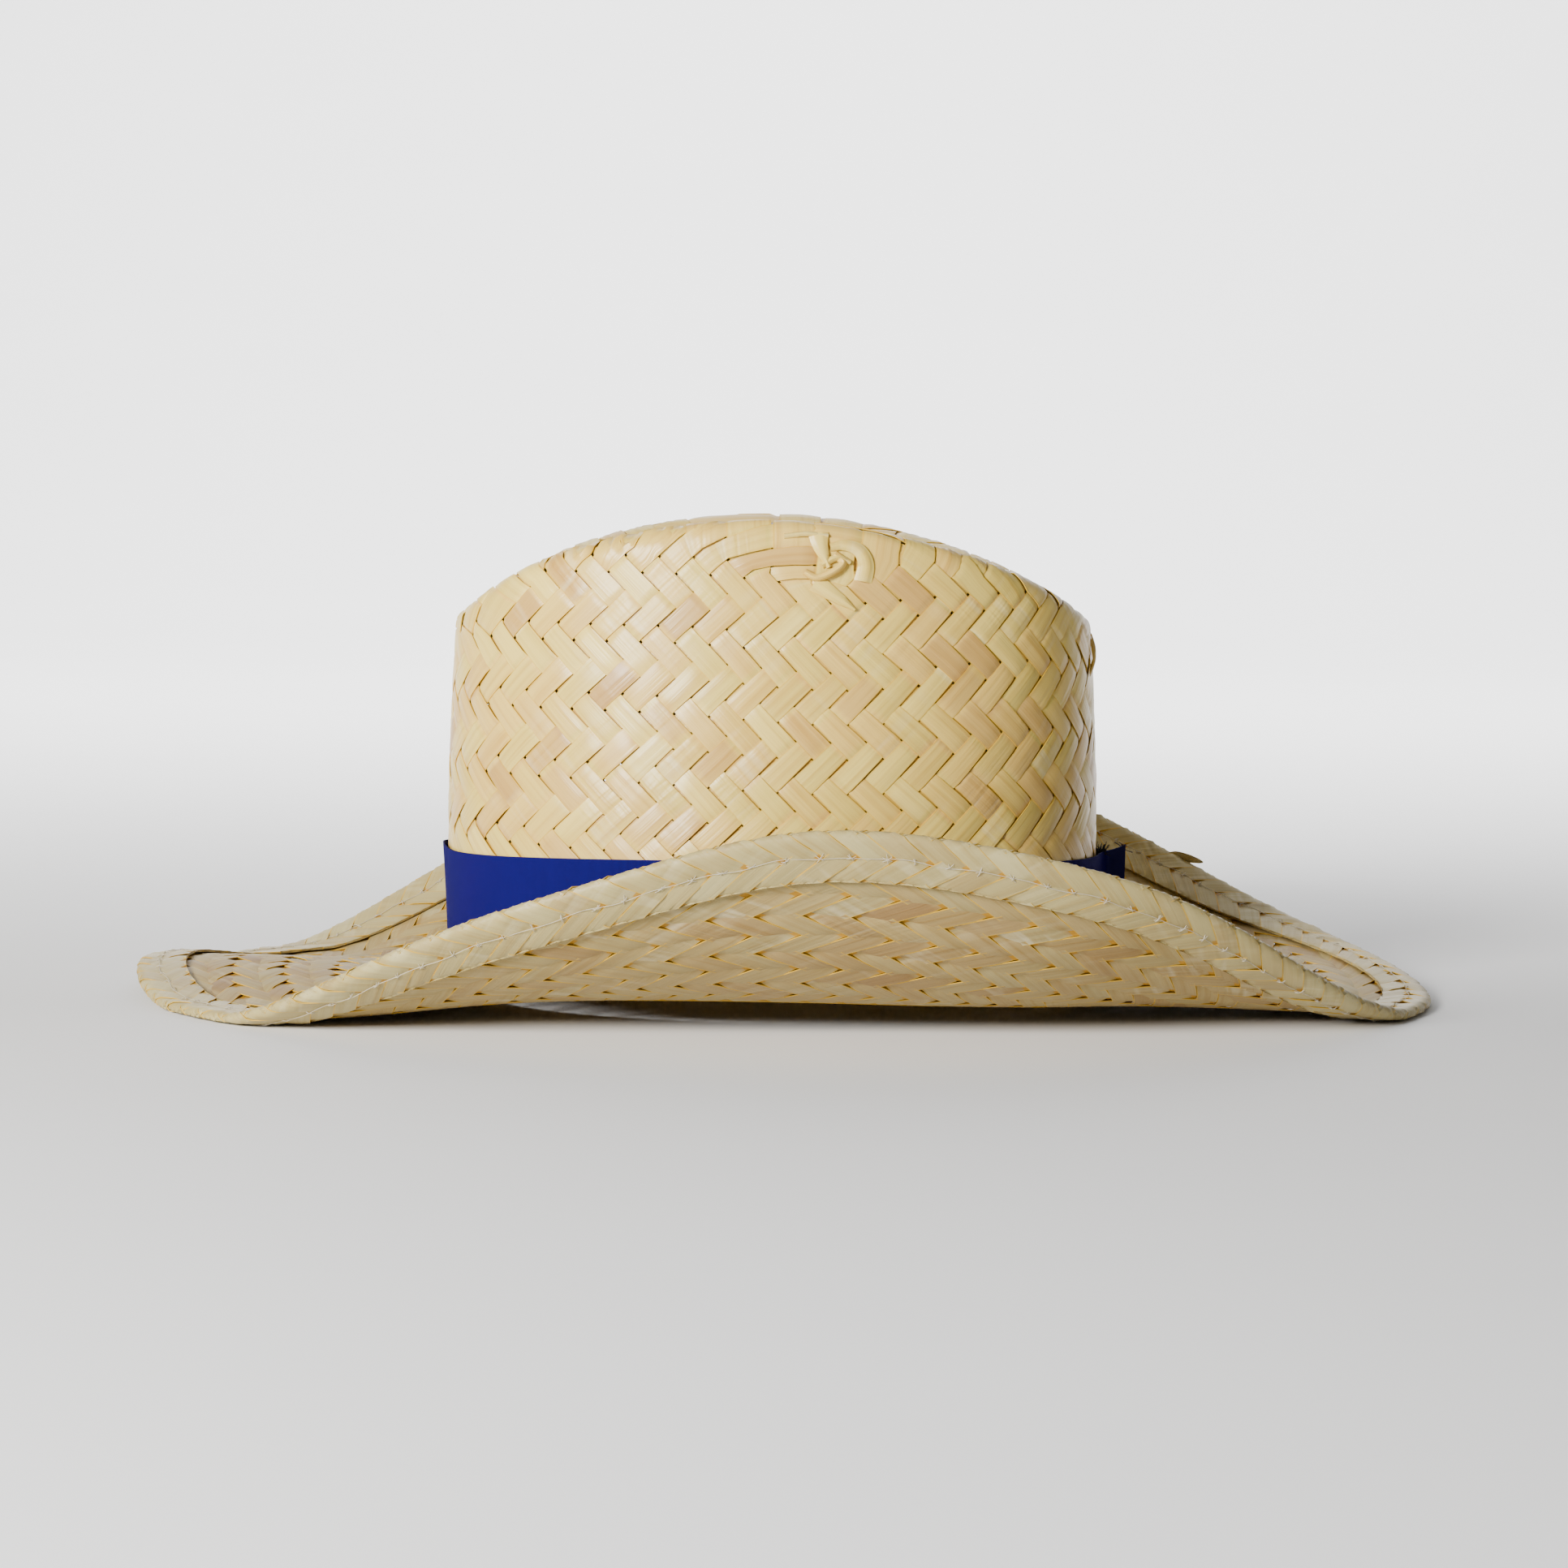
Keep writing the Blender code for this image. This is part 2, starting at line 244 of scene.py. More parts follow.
TOP_EDGE_Z = both_sides(TOP_EDGE, 1, 1)
RIM_X = both_sides(BRIM, 1, 1)
RIM_Y = both_sides(BRIM, 2, 2, sign=-1.0)
RIM_Z = both_sides(BRIM, 3, 4)
RIM_SLOPE = both_sides(BRIM, 5, 5)
ROOT_Z = both_sides(BRIM, 6, 6)
ROOT_SLOPE = both_sides(BRIM, 7, 7)


def unit(vectors):
    return vectors / np.maximum(np.linalg.norm(vectors, axis=-1, keepdims=True), 1e-12)


def oval(angles, centre, half_length, half_width):
    power = 2.0 / OVAL_SQUARENESS
    cos, sin = np.cos(angles), np.sin(angles)
    x = centre + half_length * np.sign(cos) * np.abs(cos) ** power
    return x, half_width * np.sign(sin) * np.abs(sin) ** power


def oval_normal(angles):
    ahead = np.stack(oval(angles + 1e-3, 0.0, BASE_HALF_LENGTH, BASE_HALF_WIDTH), axis=-1)
    behind = np.stack(oval(angles - 1e-3, 0.0, BASE_HALF_LENGTH, BASE_HALF_WIDTH), axis=-1)
    along = unit(ahead - behind)
    return np.stack([along[..., 1], -along[..., 0]], axis=-1)


def crown_bottom(angles):
    return at(ROOT_Z, angles) + WALL / 2 + 2 * GAP


def top_surface_height(x, y):
    reach = np.clip((x - TOP_CENTRE_X) / TOP_HALF_LENGTH, -1.0, 1.0)
    angle = np.arccos(np.sign(reach) * np.clip(np.abs(reach) ** (OVAL_SQUARENESS / 2.0), 0.0, 1.0))
    half_width = TOP_HALF_WIDTH * (1.0 - np.abs(reach) ** OVAL_SQUARENESS) ** (1.0 / OVAL_SQUARENESS)
    share = np.clip(np.abs(y) / np.maximum(half_width, 1e-6), 0.0, 1.0)
    depth = CREASE_DEPTH * (1.0 - reach**2)
    return at(TOP_EDGE_Z, angle) - depth * (1.0 + np.cos(np.pi * share)) / 2.0


def crown_wall(angles, share):
    bx, by = oval(angles, BASE_CENTRE_X, BASE_HALF_LENGTH, BASE_HALF_WIDTH)
    tx, ty = oval(angles, TOP_CENTRE_X, TOP_HALF_LENGTH, TOP_HALF_WIDTH)
    bulge = WALL_BULGE * np.sin(np.pi * share)[..., None] * oval_normal(angles)
    plan = np.stack([bx + (tx - bx) * share, by + (ty - by) * share], axis=-1) + bulge
    low = crown_bottom(angles)
    z = low + (at(TOP_EDGE_Z, angles) - low) * share
    return np.concatenate([plan, z[..., None]], axis=-1)


def crown_top(angles, share):
    ex, ey = oval(angles, TOP_CENTRE_X, TOP_HALF_LENGTH, TOP_HALF_WIDTH)
    kx = TOP_CENTRE_X + (ex - TOP_CENTRE_X) * CREASE_LENGTH_SHARE
    x = ex + (kx - ex) * share
    y = ey * (1.0 - share)
    return np.stack([x, y, top_surface_height(x, y)], axis=-1)


def crown_surface(around=288):
    """Rings of the crown's outer face, fine enough to lay strips on."""
    angles = np.arange(around) * 2 * np.pi / around
    height = at(TOP_EDGE_Z, angles) - crown_bottom(angles)
    reach = np.linalg.norm(crown_top(angles, 0 * angles) - crown_top(angles, 0 * angles + 1), axis=-1)
    wall_end = 1.0 - RIDGE_ROUNDING / height
    top_start = np.minimum(RIDGE_ROUNDING / reach, 0.4)
    rings = [crown_wall(angles, wall_end * k / 24.0) for k in range(25)]
    start, end = rings[-1], crown_top(angles, top_start)
    corner = crown_wall(angles, 0 * angles + 1)
    for k in np.arange(1, 6) / 6.0:
        rings.append((1 - k) ** 2 * start + 2 * k * (1 - k) * corner + k**2 * end)
    rings += [crown_top(angles, top_start + (1.0 - top_start) * k / 24.0) for k in range(25)]
    return np.array(rings)


def grid_tree(grid):
    """A tree to find nearest points on a grid that closes round."""
    rows, columns = grid.shape[:2]
    faces = []
    for r in range(rows - 1):
        for c in range(columns):
            n = (c + 1) % columns
            faces.append((r * columns + c, r * columns + n, (r + 1) * columns + n, (r + 1) * columns + c))
    return BVHTree.FromPolygons(grid.reshape(-1, 3).tolist(), faces)


def brim_profile(angles, samples=81):
    """Middle of the brim from the crown to the rim, many points for each angle."""
    x, y = oval(angles, BASE_CENTRE_X, BASE_HALF_LENGTH, BASE_HALF_WIDTH)
    out = oval_normal(angles)
    inner = np.stack([x, y], axis=-1) - WALL * out
    root = np.concatenate([inner, at(ROOT_Z, angles)[:, None]], axis=-1)
    rim = np.stack([at(RIM_X, angles), at(RIM_Y, angles), at(RIM_Z, angles)], axis=-1)
    away = rim - root
    away[:, 2] = 0.0
    chord = np.linalg.norm(rim - root, axis=-1, keepdims=True)
    level = np.concatenate([out, np.zeros((len(angles), 1))], axis=-1)
    start = BRIM_START_PULL * chord * leaning(level, at(ROOT_SLOPE, angles))
    end = BRIM_END_PULL * chord * leaning(unit(away), at(RIM_SLOPE, angles))
    s = np.linspace(0.0, 1.0, samples)[None, :, None]
    profile = (2 * s**3 - 3 * s**2 + 1) * root[:, None] + (3 * s**2 - 2 * s**3) * rim[:, None]
    profile += (s**3 - 2 * s**2 + s) * start[:, None] + (s**3 - s**2) * end[:, None]
    profile[..., 2] = np.maximum(profile[..., 2], LOWEST_MIDDLE)
    return profile


def leaning(level, degrees):
    lean = np.radians(degrees)[:, None]
    return level * np.cos(lean) + np.array([0.0, 0.0, 1.0]) * np.sin(lean)


class Sheet:
    """A closed-round surface as a grid of points: angle, then distance across in millimetres."""

    def __init__(self, grid, across):
        self.grid, self.across = grid, across
        around = np.roll(grid, -1, axis=0) - np.roll(grid, 1, axis=0)
        self.normals = unit(np.cross(np.gradient(grid, axis=1), around))

    def sample(self, angles, distance):
        """Points and normals at angles and distances across."""
        n, m = self.grid.shape[:2]
        a = np.mod(angles / (2 * np.pi) * n, n)
        b = np.clip(distance / self.across * (m - 1), 0.0, m - 1.001)
        a0, b0 = np.floor(a).astype(int) % n, np.floor(b).astype(int)
        fa, fb = (a - np.floor(a))[:, None], (b - b0)[:, None]
        a1, b1 = (a0 + 1) % n, b0 + 1
        found = []
        for field in (self.grid, self.normals):
            low = field[a0, b0] * (1 - fa) + field[a1, b0] * fa
            high = field[a0, b1] * (1 - fa) + field[a1, b1] * fa
            found.append(low * (1 - fb) + high * fb)
        return found[0], unit(found[1])


def even_angles(points_at, count=2880):
    """Angles against share of the way round, by length."""
    angles = np.arange(count + 1) * 2 * np.pi / count
    points = points_at(angles)
    length = np.concatenate([[0.0], np.cumsum(np.linalg.norm(np.diff(points, axis=0), axis=1))])
    share = length / length[-1]
    return lambda s: np.interp(np.mod(s, 1.0), share, angles) + 2 * np.pi * np.floor(s)


def base_points(angles):
    return np.stack(oval(angles, BASE_CENTRE_X, BASE_HALF_LENGTH, BASE_HALF_WIDTH), axis=-1)


def rim_points(angles):
    return np.stack([at(RIM_X, angles), at(RIM_Y, angles), at(RIM_Z, angles)], axis=-1)


def brim_sheet(around=360, step=1.25, longest=112.5):
    """The brim's middle by distance out from the crown, and its width at each angle."""
    angles = np.arange(around) * 2 * np.pi / around
    profile = brim_profile(angles)
    length = np.linalg.norm(np.diff(profile, axis=1), axis=-1)
    out = np.concatenate([np.zeros((around, 1)), np.cumsum(length, axis=1)], axis=1)
    distances = np.arange(0.0, longest + step, step)
    grid = np.empty((around, len(distances), 3))
    for i in range(around):
        last = profile[i, -1] - profile[i, -2]
        beyond = np.maximum(distances - out[i, -1], 0.0)[:, None] * last / np.linalg.norm(last)
        for k in range(3):
            grid[i, :, k] = np.interp(distances, out[i], profile[i, :, k])
        grid[i] += beyond
    return Sheet(grid, distances[-1]), out[:, -1]


def fold_sheet(brim, width, away):
    """Surface folded over the rim: in on top, round the edge and back under."""
    around = len(width)
    angles = np.arange(around) * 2 * np.pi / around
    rows = []
    for d in np.linspace(BINDING_WIDTH, 0.0, 13):
        point, normal = brim.sample(angles, width - d)
        rows.append(point + away * normal)
    edge, normal = brim.sample(angles, width)
    before, _ = brim.sample(angles, width - 0.6)
    out = unit(edge - before)
    for lean in np.radians([30.0, 60.0, 90.0, 120.0, 150.0]):
        rows.append(edge + away * (np.cos(lean) * normal + np.sin(lean) * out))
    for d in np.linspace(0.0, BINDING_WIDTH, 13):
        point, normal = brim.sample(angles, width - d)
        rows.append(point - away * normal)
    path = np.stack(rows, axis=1)
    length = np.linalg.norm(np.diff(path, axis=1), axis=-1).mean(axis=0)
    along = np.concatenate([[0.0], np.cumsum(length)])
    even = np.linspace(0.0, along[-1], 65)
    grid = np.empty((around, 65, 3))
    for i in range(around):
        for k in range(3):
            grid[i, :, k] = np.interp(even, along, path[i, :, k])
    grid[..., 2] = np.maximum(grid[..., 2], LOWEST_BRAID)
    return Sheet(grid, along[-1])


class Plait:
    """Collects strips, each a closed ribbon, into one mesh with its fibre map, tints and a painted-shade mark where
    strips pass under others.
    """

    def __init__(self, thickness=0.3, camber=0.14, lift=0.34, tint_spread=1.0):
        self.thickness, self.camber, self.lift = thickness, camber, lift
        self.points, self.faces, self.uv, self.across, self.tint, self.under_shade = [], [], [], [], [], []
        self.count = 0
        self.tint_spread = tint_spread

    def strip(self, lines, normals, over, curl=0.28, shadow=1.0):
        """One strip through stations: lines from its left to its right edge, their normals, and over from -1 to 1."""
        count, n = lines.shape[:2]
        run = np.concatenate([[0], np.cumsum(np.abs(np.diff(np.where(over > 0.01, 1, 0))))])
        kinds = rng.normal(0.0, 1.0, run[-1] + 1)
        lean = rng.uniform(-curl, curl, (run[-1] + 1, 2))
        shade = rng.normal(0.0, 0.7)
        tint = 0.5 + 0.15 * self.tint_spread * (kinds[run] + shade)
        middle = np.clip(over, 0.0, 1.0)[:, None]
        level = self.lift * over[:, None]
        edges = lean[run] * middle
        offset = rng.uniform(0.0, 60.0)
        width = np.linalg.norm(lines[-1] - lines[0], axis=1)
        steps = np.linalg.norm(np.diff(lines.mean(axis=0), axis=0), axis=1)
        distance = np.concatenate([[0.0], np.cumsum(steps)])
        rows, uvs, across = [], [], []
        for side in (1.0, -1.0):
            for i in range(count) if side > 0 else range(count - 1, -1, -1):
                q = i / (count - 1)
                arch = self.camber * (1 - (2 * q - 1) ** 2) * np.where(over < -0.5, 0.3, 1.0)
                tilt = edges[:, :1] * max(0.0, 1 - 2 * q) + edges[:, 1:] * max(0.0, 2 * q - 1)
                height = level + arch[:, None] + tilt + side * self.thickness / 2
                rows.append(lines[i] + height * normals[i])
                uvs.append(np.stack([distance + offset, (q - 0.5) * width + offset * 1.7], axis=1))
                across.append(np.stack([np.full(n, q), 0.25 + 0.5 * (run % 2)], axis=1))
        ring = len(rows)
        self.points.append(np.stack(rows, axis=1).reshape(-1, 3))
        self.uv.append(np.stack(uvs, axis=1).reshape(-1, 2))
        self.across.append(np.stack(across, axis=1).reshape(-1, 2))
        self.tint.append(np.repeat(np.clip(tint, 0.0, 1.0), ring))
        # Painted shade: faces of a strip that lie under a crossing strip are marked for the dark colour, less where
        # shadow is lowered
        facing = np.repeat([-1.0, 1.0], ring // 2)
        hidden = np.clip(over[:, None] * facing[None, :], 0.0, 1.0)
        self.under_shade.append((hidden * np.broadcast_to(shadow, n)[:, None]).ravel())
        first = self.count
        for i in range(n - 1):
            for k in range(ring):
                a, b = first + i * ring, first + (i + 1) * ring
                j = (k + 1) % ring
                self.faces.append((a + k, a + j, b + j, b + k))
        half = ring // 2
        for start, flip in ((first, False), (first + (n - 1) * ring, True)):
            for k in range(half - 1):
                quad = (start + k, start + ring - 1 - k, start + ring - 2 - k, start + k + 1)
                self.faces.append(quad[::-1] if flip else quad)
        self.count += n * ring

    def build(self, name, material, smooth_angle=50.0):
        points = np.concatenate(self.points) * MM
        made = new_mesh(name, points, self.faces, material, smooth_angle)
        mesh = made.data
        index = np.empty(len(mesh.loops), int)
        mesh.loops.foreach_get("vertex_index", index)
        layer = mesh.uv_layers.new(name="Fibres")
        layer.data.foreach_set("uv", (np.concatenate(self.uv)[index] * MM * 10).astype(np.float32).ravel())
        layer = mesh.uv_layers.new(name="Across")
        layer.data.foreach_set("uv", np.concatenate(self.across)[index].astype(np.float32).ravel())
        tint = mesh.attributes.new("tint", "FLOAT", "POINT")
        tint.data.foreach_set("value", np.concatenate(self.tint).astype(np.float32))
        under_shade = mesh.attributes.new("under_shade", "FLOAT", "POINT")
        under_shade.data.foreach_set("value", np.concatenate(self.under_shade).astype(np.float32))
        return made


def new_mesh(name, points, faces, material, smooth_angle=None):
    mesh = bpy.data.meshes.new(name)
    mesh.from_pydata(np.asarray(points).tolist(), [], [tuple(int(i) for i in f) for f in faces])
    mesh.update()
    made = bpy.data.objects.new(name, mesh)
    bpy.context.scene.collection.objects.link(made)
    mesh.materials.append(material)
    if smooth_angle:
        mesh.shade_smooth()
        mesh.set_sharp_from_angle(angle=np.radians(smooth_angle))
    return made


def stations(start, end, inside=(0.27, 0.73)):
    """Places along a strip: the middle of each gap between crossings and the places inside each crossing."""
    marks = [start]
    first = int(np.floor(start)) - 1
    for k in range(first, int(np.ceil(end)) + 1):
        marks += [k + x for x in (0.0, *inside) if start + 0.08 < k + x < end - 0.08]
    marks.append(end)
    return np.array(sorted(set(marks)))


def weave_height(marks, over_at):
    """Smooth height, 1 over and -1 under, where over_at tells it for crossings at half steps."""
    cell = np.floor(marks + 1e-9)
    near = cell + 0.5
    here = np.array([over_at(c) for c in near])
    before = np.array([over_at(c - 1) for c in near])
    inside = marks - cell
    value = here.astype(float)
    at_gap = inside < 1e-6
    value[at_gap] = (here[at_gap] + before[at_gap]) / 2.0
    return value


def twill(row, phase=0):
    """Whether the strips that lean like a backslash are on top in this row of crossings."""
    return (int(round(row)) + phase) % 4 in (0, 1)


class CrownLattice:
    """The plait's crossings laid over the crown.

    Over the top the strips run along X and Y. Each of four quadrants counts a and b outward from the
    middle, and four corners, where the strips turn down the wall, lie at the near and far sides
    (SIDE_HALF strips out) and at the front and back (END_HALF out). On the wall row = a + b - 13 and
    column = b - a + FIRST[quadrant], 104 columns round from the back.
    """

    SIDE_HALF = 11
    END_HALF = 15
    FIRST = (15, 37, 67, 89)

    def __init__(self):
        self.surface = crown_surface()
        self.tree = grid_tree(self.surface)
        self.round = even_angles(base_points)
        columns, degrees = np.array(COLUMNS, float).T
        turns = 2 * np.pi * (columns - columns[0]) / 104.0
        shares = np.interp(np.radians(degrees), self.round(np.linspace(0.0, 1.0, 721)), np.linspace(0.0, 1.0, 721))
        waves = wave_terms(turns)[:, : 2 * COLUMN_WAVES + 1]
        self.column_waves = np.linalg.lstsq(waves, shares - turns / (2 * np.pi), rcond=None)[0]
        self.rows = 39 * 2
        self.number()
        self.relax()

    def reach(self, quadrant):
        """Corner distances along a and along b in a quadrant."""
        if quadrant % 2 == 0:
            return self.END_HALF, self.SIDE_HALF
        return self.SIDE_HALF, self.END_HALF

    def settle(self, quadrant, a, b):
        """The one name of a lattice point, in half steps."""
        for _ in range(8):
            ha, hb = (2 * h for h in self.reach(quadrant))
            if b - a > hb:
                quadrant, a, b = (quadrant + 1) % 4, a + hb, b - hb
            elif a - b >= ha and (a - b > ha or b > 0 or a > ha):
                quadrant, a, b = (quadrant - 1) % 4, a - ha, b + ha
            elif a < 0:
                quadrant, a, b = (quadrant + 1) % 4, b, -a
            elif b < 0:
                quadrant, a, b = (quadrant - 1) % 4, -b, a
            elif b == 0 and a <= ha:
                quadrant, a, b = (quadrant - 1) % 4, 0, a
                break
            else:
                break
        if a == 0 and b == 0:
            quadrant = 0
        return quadrant, a, b

    def wall_point(self, quadrant, a, b):
        """Where a point lies by row and column, for the wall below the ridges."""
        row = (a + b) / 2.0 - 13.0
        column = (b - a) / 2.0 + self.FIRST[quadrant]
        angle = self.angle(column)
        low = crown_bottom(angle)
        height = (self.height(row, column) - low) / (at(TOP_EDGE_Z, angle) - low)
        return crown_wall(angle, height)[0]

    def below_ridge(self, row, column):
        """Whether a row that runs over the ridge at the ends still lies on the wall here."""
        if row < -4.0:
            return False
        from_end = min(abs(column - end) for end in (0, 52, 104))
        from_corner = min(abs(column - corner) for corner in (26, 78))
        room = at(TOP_EDGE_Z, self.angle(column))[0] - self.height(row, column)
        return room > 4.0 and from_end > 7.0 - row and from_corner > 4.0 * max(0.0, -2.0 - row)

    def height(self, row, column):
        """Height of a row, which dips below the near and far corners."""
        z = CORNER_Z - CROWN_STEP * (row + 2.0)
        wide = 5.5 + 0.4 * max(row - 2.0, 0.0)
        dip = sum(np.exp(-(((column - middle) / wide) ** 2)) for middle in (25.0, 79.5))
        return z - 3.2 * dip * np.clip((z - 15.0) / 45.0, 0.0, 1.0)

    def angle(self, column):
        turn = 2 * np.pi * (column - COLUMNS[0][0]) / 104.0
        wave = wave_terms(np.array([turn]))[:, : 2 * COLUMN_WAVES + 1] @ self.column_waves
        return self.round(turn / (2 * np.pi) + wave)

    def number(self):
        self.index, keys = {}, []
        for quadrant in range(4):
            for a in range(0, self.rows + 1):
                for b in range(0, self.rows + 1):
                    if (a + b) / 2.0 - 13.0 > 25.5:
                        continue
                    key = self.settle(quadrant, a, b)
                    if key not in self.index:
                        self.index[key] = len(keys)
                        keys.append(key)
        self.keys = keys

    def guess(self, key):
        quadrant, a, b = key
        a, b = a / 2.0, b / 2.0
        m, n = ((a, b), (-b, a), (-a, -b), (b, -a))[quadrant]
        x = TOP_CENTRE_X + 17.0 * (1 - abs(m) / 15.0) * (1 if abs(m) < 15 else 0) + m * 6.5
        y = n * 6.2
        reach = np.hypot((x - TOP_CENTRE_X) / 96.0, y / 68.0)
        if reach > 1.0:
            x, y = TOP_CENTRE_X + (x - TOP_CENTRE_X) / reach, y / reach
        return np.array([x, y, float(top_surface_height(np.array([x]), np.array([y]))[0])])

    def relax(self, rounds=300):
        """Evens out the lattice over the top, keeping it on the crown."""
        keys = self.keys
        points = np.empty((len(keys), 3))
        fixed = np.zeros(len(keys), bool)
        for i, key in enumerate(keys):
            row = (key[1] + key[2]) / 2.0 - 13.0
            column = (key[2] - key[1]) / 2.0 + self.FIRST[key[0]]
            if row >= 2.0 or self.below_ridge(row, column):
                points[i], fixed[i] = self.wall_point(*key), True
            else:
                points[i] = self.guess(key)
        for quadrant in (0, 2):
            i = self.index[self.settle(quadrant, 0, 2 * self.SIDE_HALF)]
            points[i], fixed[i] = self.wall_point(quadrant, 0, 2 * self.SIDE_HALF), True
        free = np.nonzero(~fixed)[0]
        around = np.array([[self.index[self.settle(*near)] for near in self.neighbours(keys[i])] for i in free])
        for _ in range(rounds):
            moved = points[around].mean(axis=1)
            for i, place in zip(free, moved):
                points[i] = self.tree.find_nearest(Vector(place))[0]
        self.points = points

    def neighbours(self, key):
        quadrant, a, b = key
        return [(quadrant, a + 1, b), (quadrant, a - 1, b), (quadrant, a, b + 1), (quadrant, a, b - 1)]

    def place(self, quadrant, a, b):
        """Point at a fractional a and b of a quadrant, between the lattice's points."""
        a2, b2 = max(2 * a, 0.0), max(2 * b, 0.0)
        i, j = int(np.floor(a2)), int(np.floor(b2))
        fa, fb = a2 - i, b2 - j
        total = np.zeros(3)
        for di, dj, share in ((0, 0, (1 - fa) * (1 - fb)), (1, 0, fa * (1 - fb)), (0, 1, (1 - fa) * fb), (1, 1, fa * fb)):
            if share > 1e-9:
                total += share * self.points[self.index[self.settle(quadrant, i + di, j + dj)]]
        return total

    def on_surface(self, points):
        """Points moved onto the crown, with the outward normals."""
        found, normals = np.empty_like(points), np.empty_like(points)
        for i, point in enumerate(points):
            place, normal, _, _ = self.tree.find_nearest(Vector(point))
            found[i], normals[i] = place, normal
        return found, normals

    def half_strip(self, line, along_x, positive, last_row, width):
        """Stations of half a strip, outward from the middle: edges, over and distance."""
        if along_x:
            quadrant = (0 if line > 0 else 3) if positive else (1 if line > 0 else 2)
        else:
            quadrant = (0 if line > 0 else 1) if positive else (3 if line > 0 else 2)
        across = abs(line)
        grows_a = (along_x and quadrant in (0, 2)) or (not along_x and quadrant in (1, 3))
        end = last_row + 13.0 - across
        fine, coarse = stations(0.0, end, (0.17, 0.34, 0.5, 0.66, 0.83)), stations(0.0, end)
        below = 16.0 - across
        marks = np.concatenate([fine[fine < below], coarse[coarse >= below]])

        def over_at(c):
            row = abs(c) + across - 13.0
            backslash = twill(row, 2)
            on_top = (not backslash) if grows_a else backslash
            return 1 if on_top else -1

        level = weave_height(marks, over_at)
        sign = 1.0 if quadrant in (1, 2) else -1.0
        narrow = width * (1.0 - 0.045 * (1.0 + sign * np.cos(np.pi / 2 * (marks + across - 13.0 - 1.5))))
        edges = []
        for side in (-1.0, 1.0):
            lines = across + side * narrow
            spots = [(quadrant, m, e) if grows_a else (quadrant, e, m) for m, e in zip(marks, lines)]
            edges.append(np.array([self.place(*spot) for spot in spots]))
        return marks, edges[0], edges[1], level

    def strip(self, line, along_x, last_row=22.6, width=0.48):
        """A whole strip from one foot of the crown over the top to the other."""
        right = self.half_strip(line, along_x, True, last_row, width)
        left = self.half_strip(line, along_x, False, last_row, width)
        marks = np.concatenate([-left[0][:0:-1], right[0]])
        inner = np.concatenate([left[1][:0:-1], right[1]])
        outer = np.concatenate([left[2][:0:-1], right[2]])
        level = np.concatenate([left[3][:0:-1], right[3]])
        return marks, inner, outer, level


def weave_crown(lattice, straw):
    pieces = []
    for along_x, name in ((True, "crown_strips_lengthwise"), (False, "crown_strips_crosswise")):
        half = CrownLattice.SIDE_HALF if along_x else CrownLattice.END_HALF
        plait = Plait(thickness=0.26, camber=0.2, lift=0.36)
        for line in np.arange(-half + 0.5, half, 1.0):
            width = 0.487 + rng.uniform(-0.012, 0.005)
            marks, inner, outer, level = lattice.strip(line, along_x, width=width)
            middle, _ = lattice.on_surface((inner + outer) / 2)
            lengthwise = np.gradient(middle, axis=0)
            lines, normals = [], []
            for share in np.linspace(0.0, 1.0, 5):
                line, normal = lattice.on_surface(inner * (1 - share) + outer * share)
                normal = smooth_rows(smooth_rows(normal))
                lines.append(line - 0.65 * normal)
                normals.append(normal)
            if np.einsum("ij,ij->i", np.cross(lengthwise, outer - inner), normals[2]).sum() < 0:
                lines.reverse()
                normals.reverse()
            bend = np.exp(-(((normals[2][:, 2] - 0.55) / 0.25) ** 2))
            level = level * (1.0 + 0.35 * bend)
            plait.strip(np.array(lines), np.array(normals), level, shadow=1.0 - np.clip(2.0 * bend, 0.0, 1.0))
        pieces.append(plait.build(name, straw))
    return pieces


def smooth_rows(vectors):
    """Directions evened out along a strip."""
    padded = np.concatenate([vectors[:1], vectors, vectors[-1:]])
    return unit(0.25 * padded[:-2] + 0.5 * padded[1:-1] + 0.25 * padded[2:])


def weave_sheet(name, sheet, turn, strips, out, ends, straw, first=1.0, width=0.495, lines=5, flat=None, **look):
    """Strips both ways over a sheet.

    Turn gives the angle for a share round, out the distance across for a row, and ends the last
    distance at an angle, or the last row where all strips stop on the sheet's borders. Flat gives
    how much of the plait's height is left at a row.
    """
    pieces = []
    for lean in (1.0, -1.0):
        plait = Plait(**look)
        for k in range(strips):
            start = 2.0 * k + first
            if callable(ends):
                marks = stations(0.0, 27.0)
                far = out(marks)
                keep = (far < ends(turn((start + lean * marks) / (2.0 * strips)))) & (far > 0.4)
                marks = marks[keep]
            else:
                marks = stations(-0.5, ends + 0.5)
            if len(marks) < 4:
                continue

            def over_at(c):
                return (1 if twill(np.floor(c)) else -1) * (1 if lean > 0 else -1)

            level = weave_height(marks, over_at)
            if flat:
                level = level * flat(marks)
            half = width * (1.0 + rng.uniform(-0.02, 0.015))
            points, normals = [], []
            for side in np.linspace(-half, half, lines):
                rows = marks - lean * side
                if not callable(ends):
                    rows = np.clip(rows, 0.0, ends)
                angle = turn((start + lean * rows + 2.0 * side) / (2.0 * strips))
                point, normal = sheet.sample(angle, out(rows))
                points.append(point)
                normals.append(normal)
            points, normals = np.array(points), np.array(normals)
            lengthwise = np.gradient(points.mean(axis=0), axis=0)
            if np.einsum("ij,ij->i", np.cross(lengthwise, points[-1] - points[0]), normals[0]).sum() < 0:
                points, normals = points[::-1], normals[::-1]
            plait.strip(points, normals, level)
        pieces.append(plait.build(f"{name}_{'right' if lean > 0 else 'left'}", straw))
    return pieces


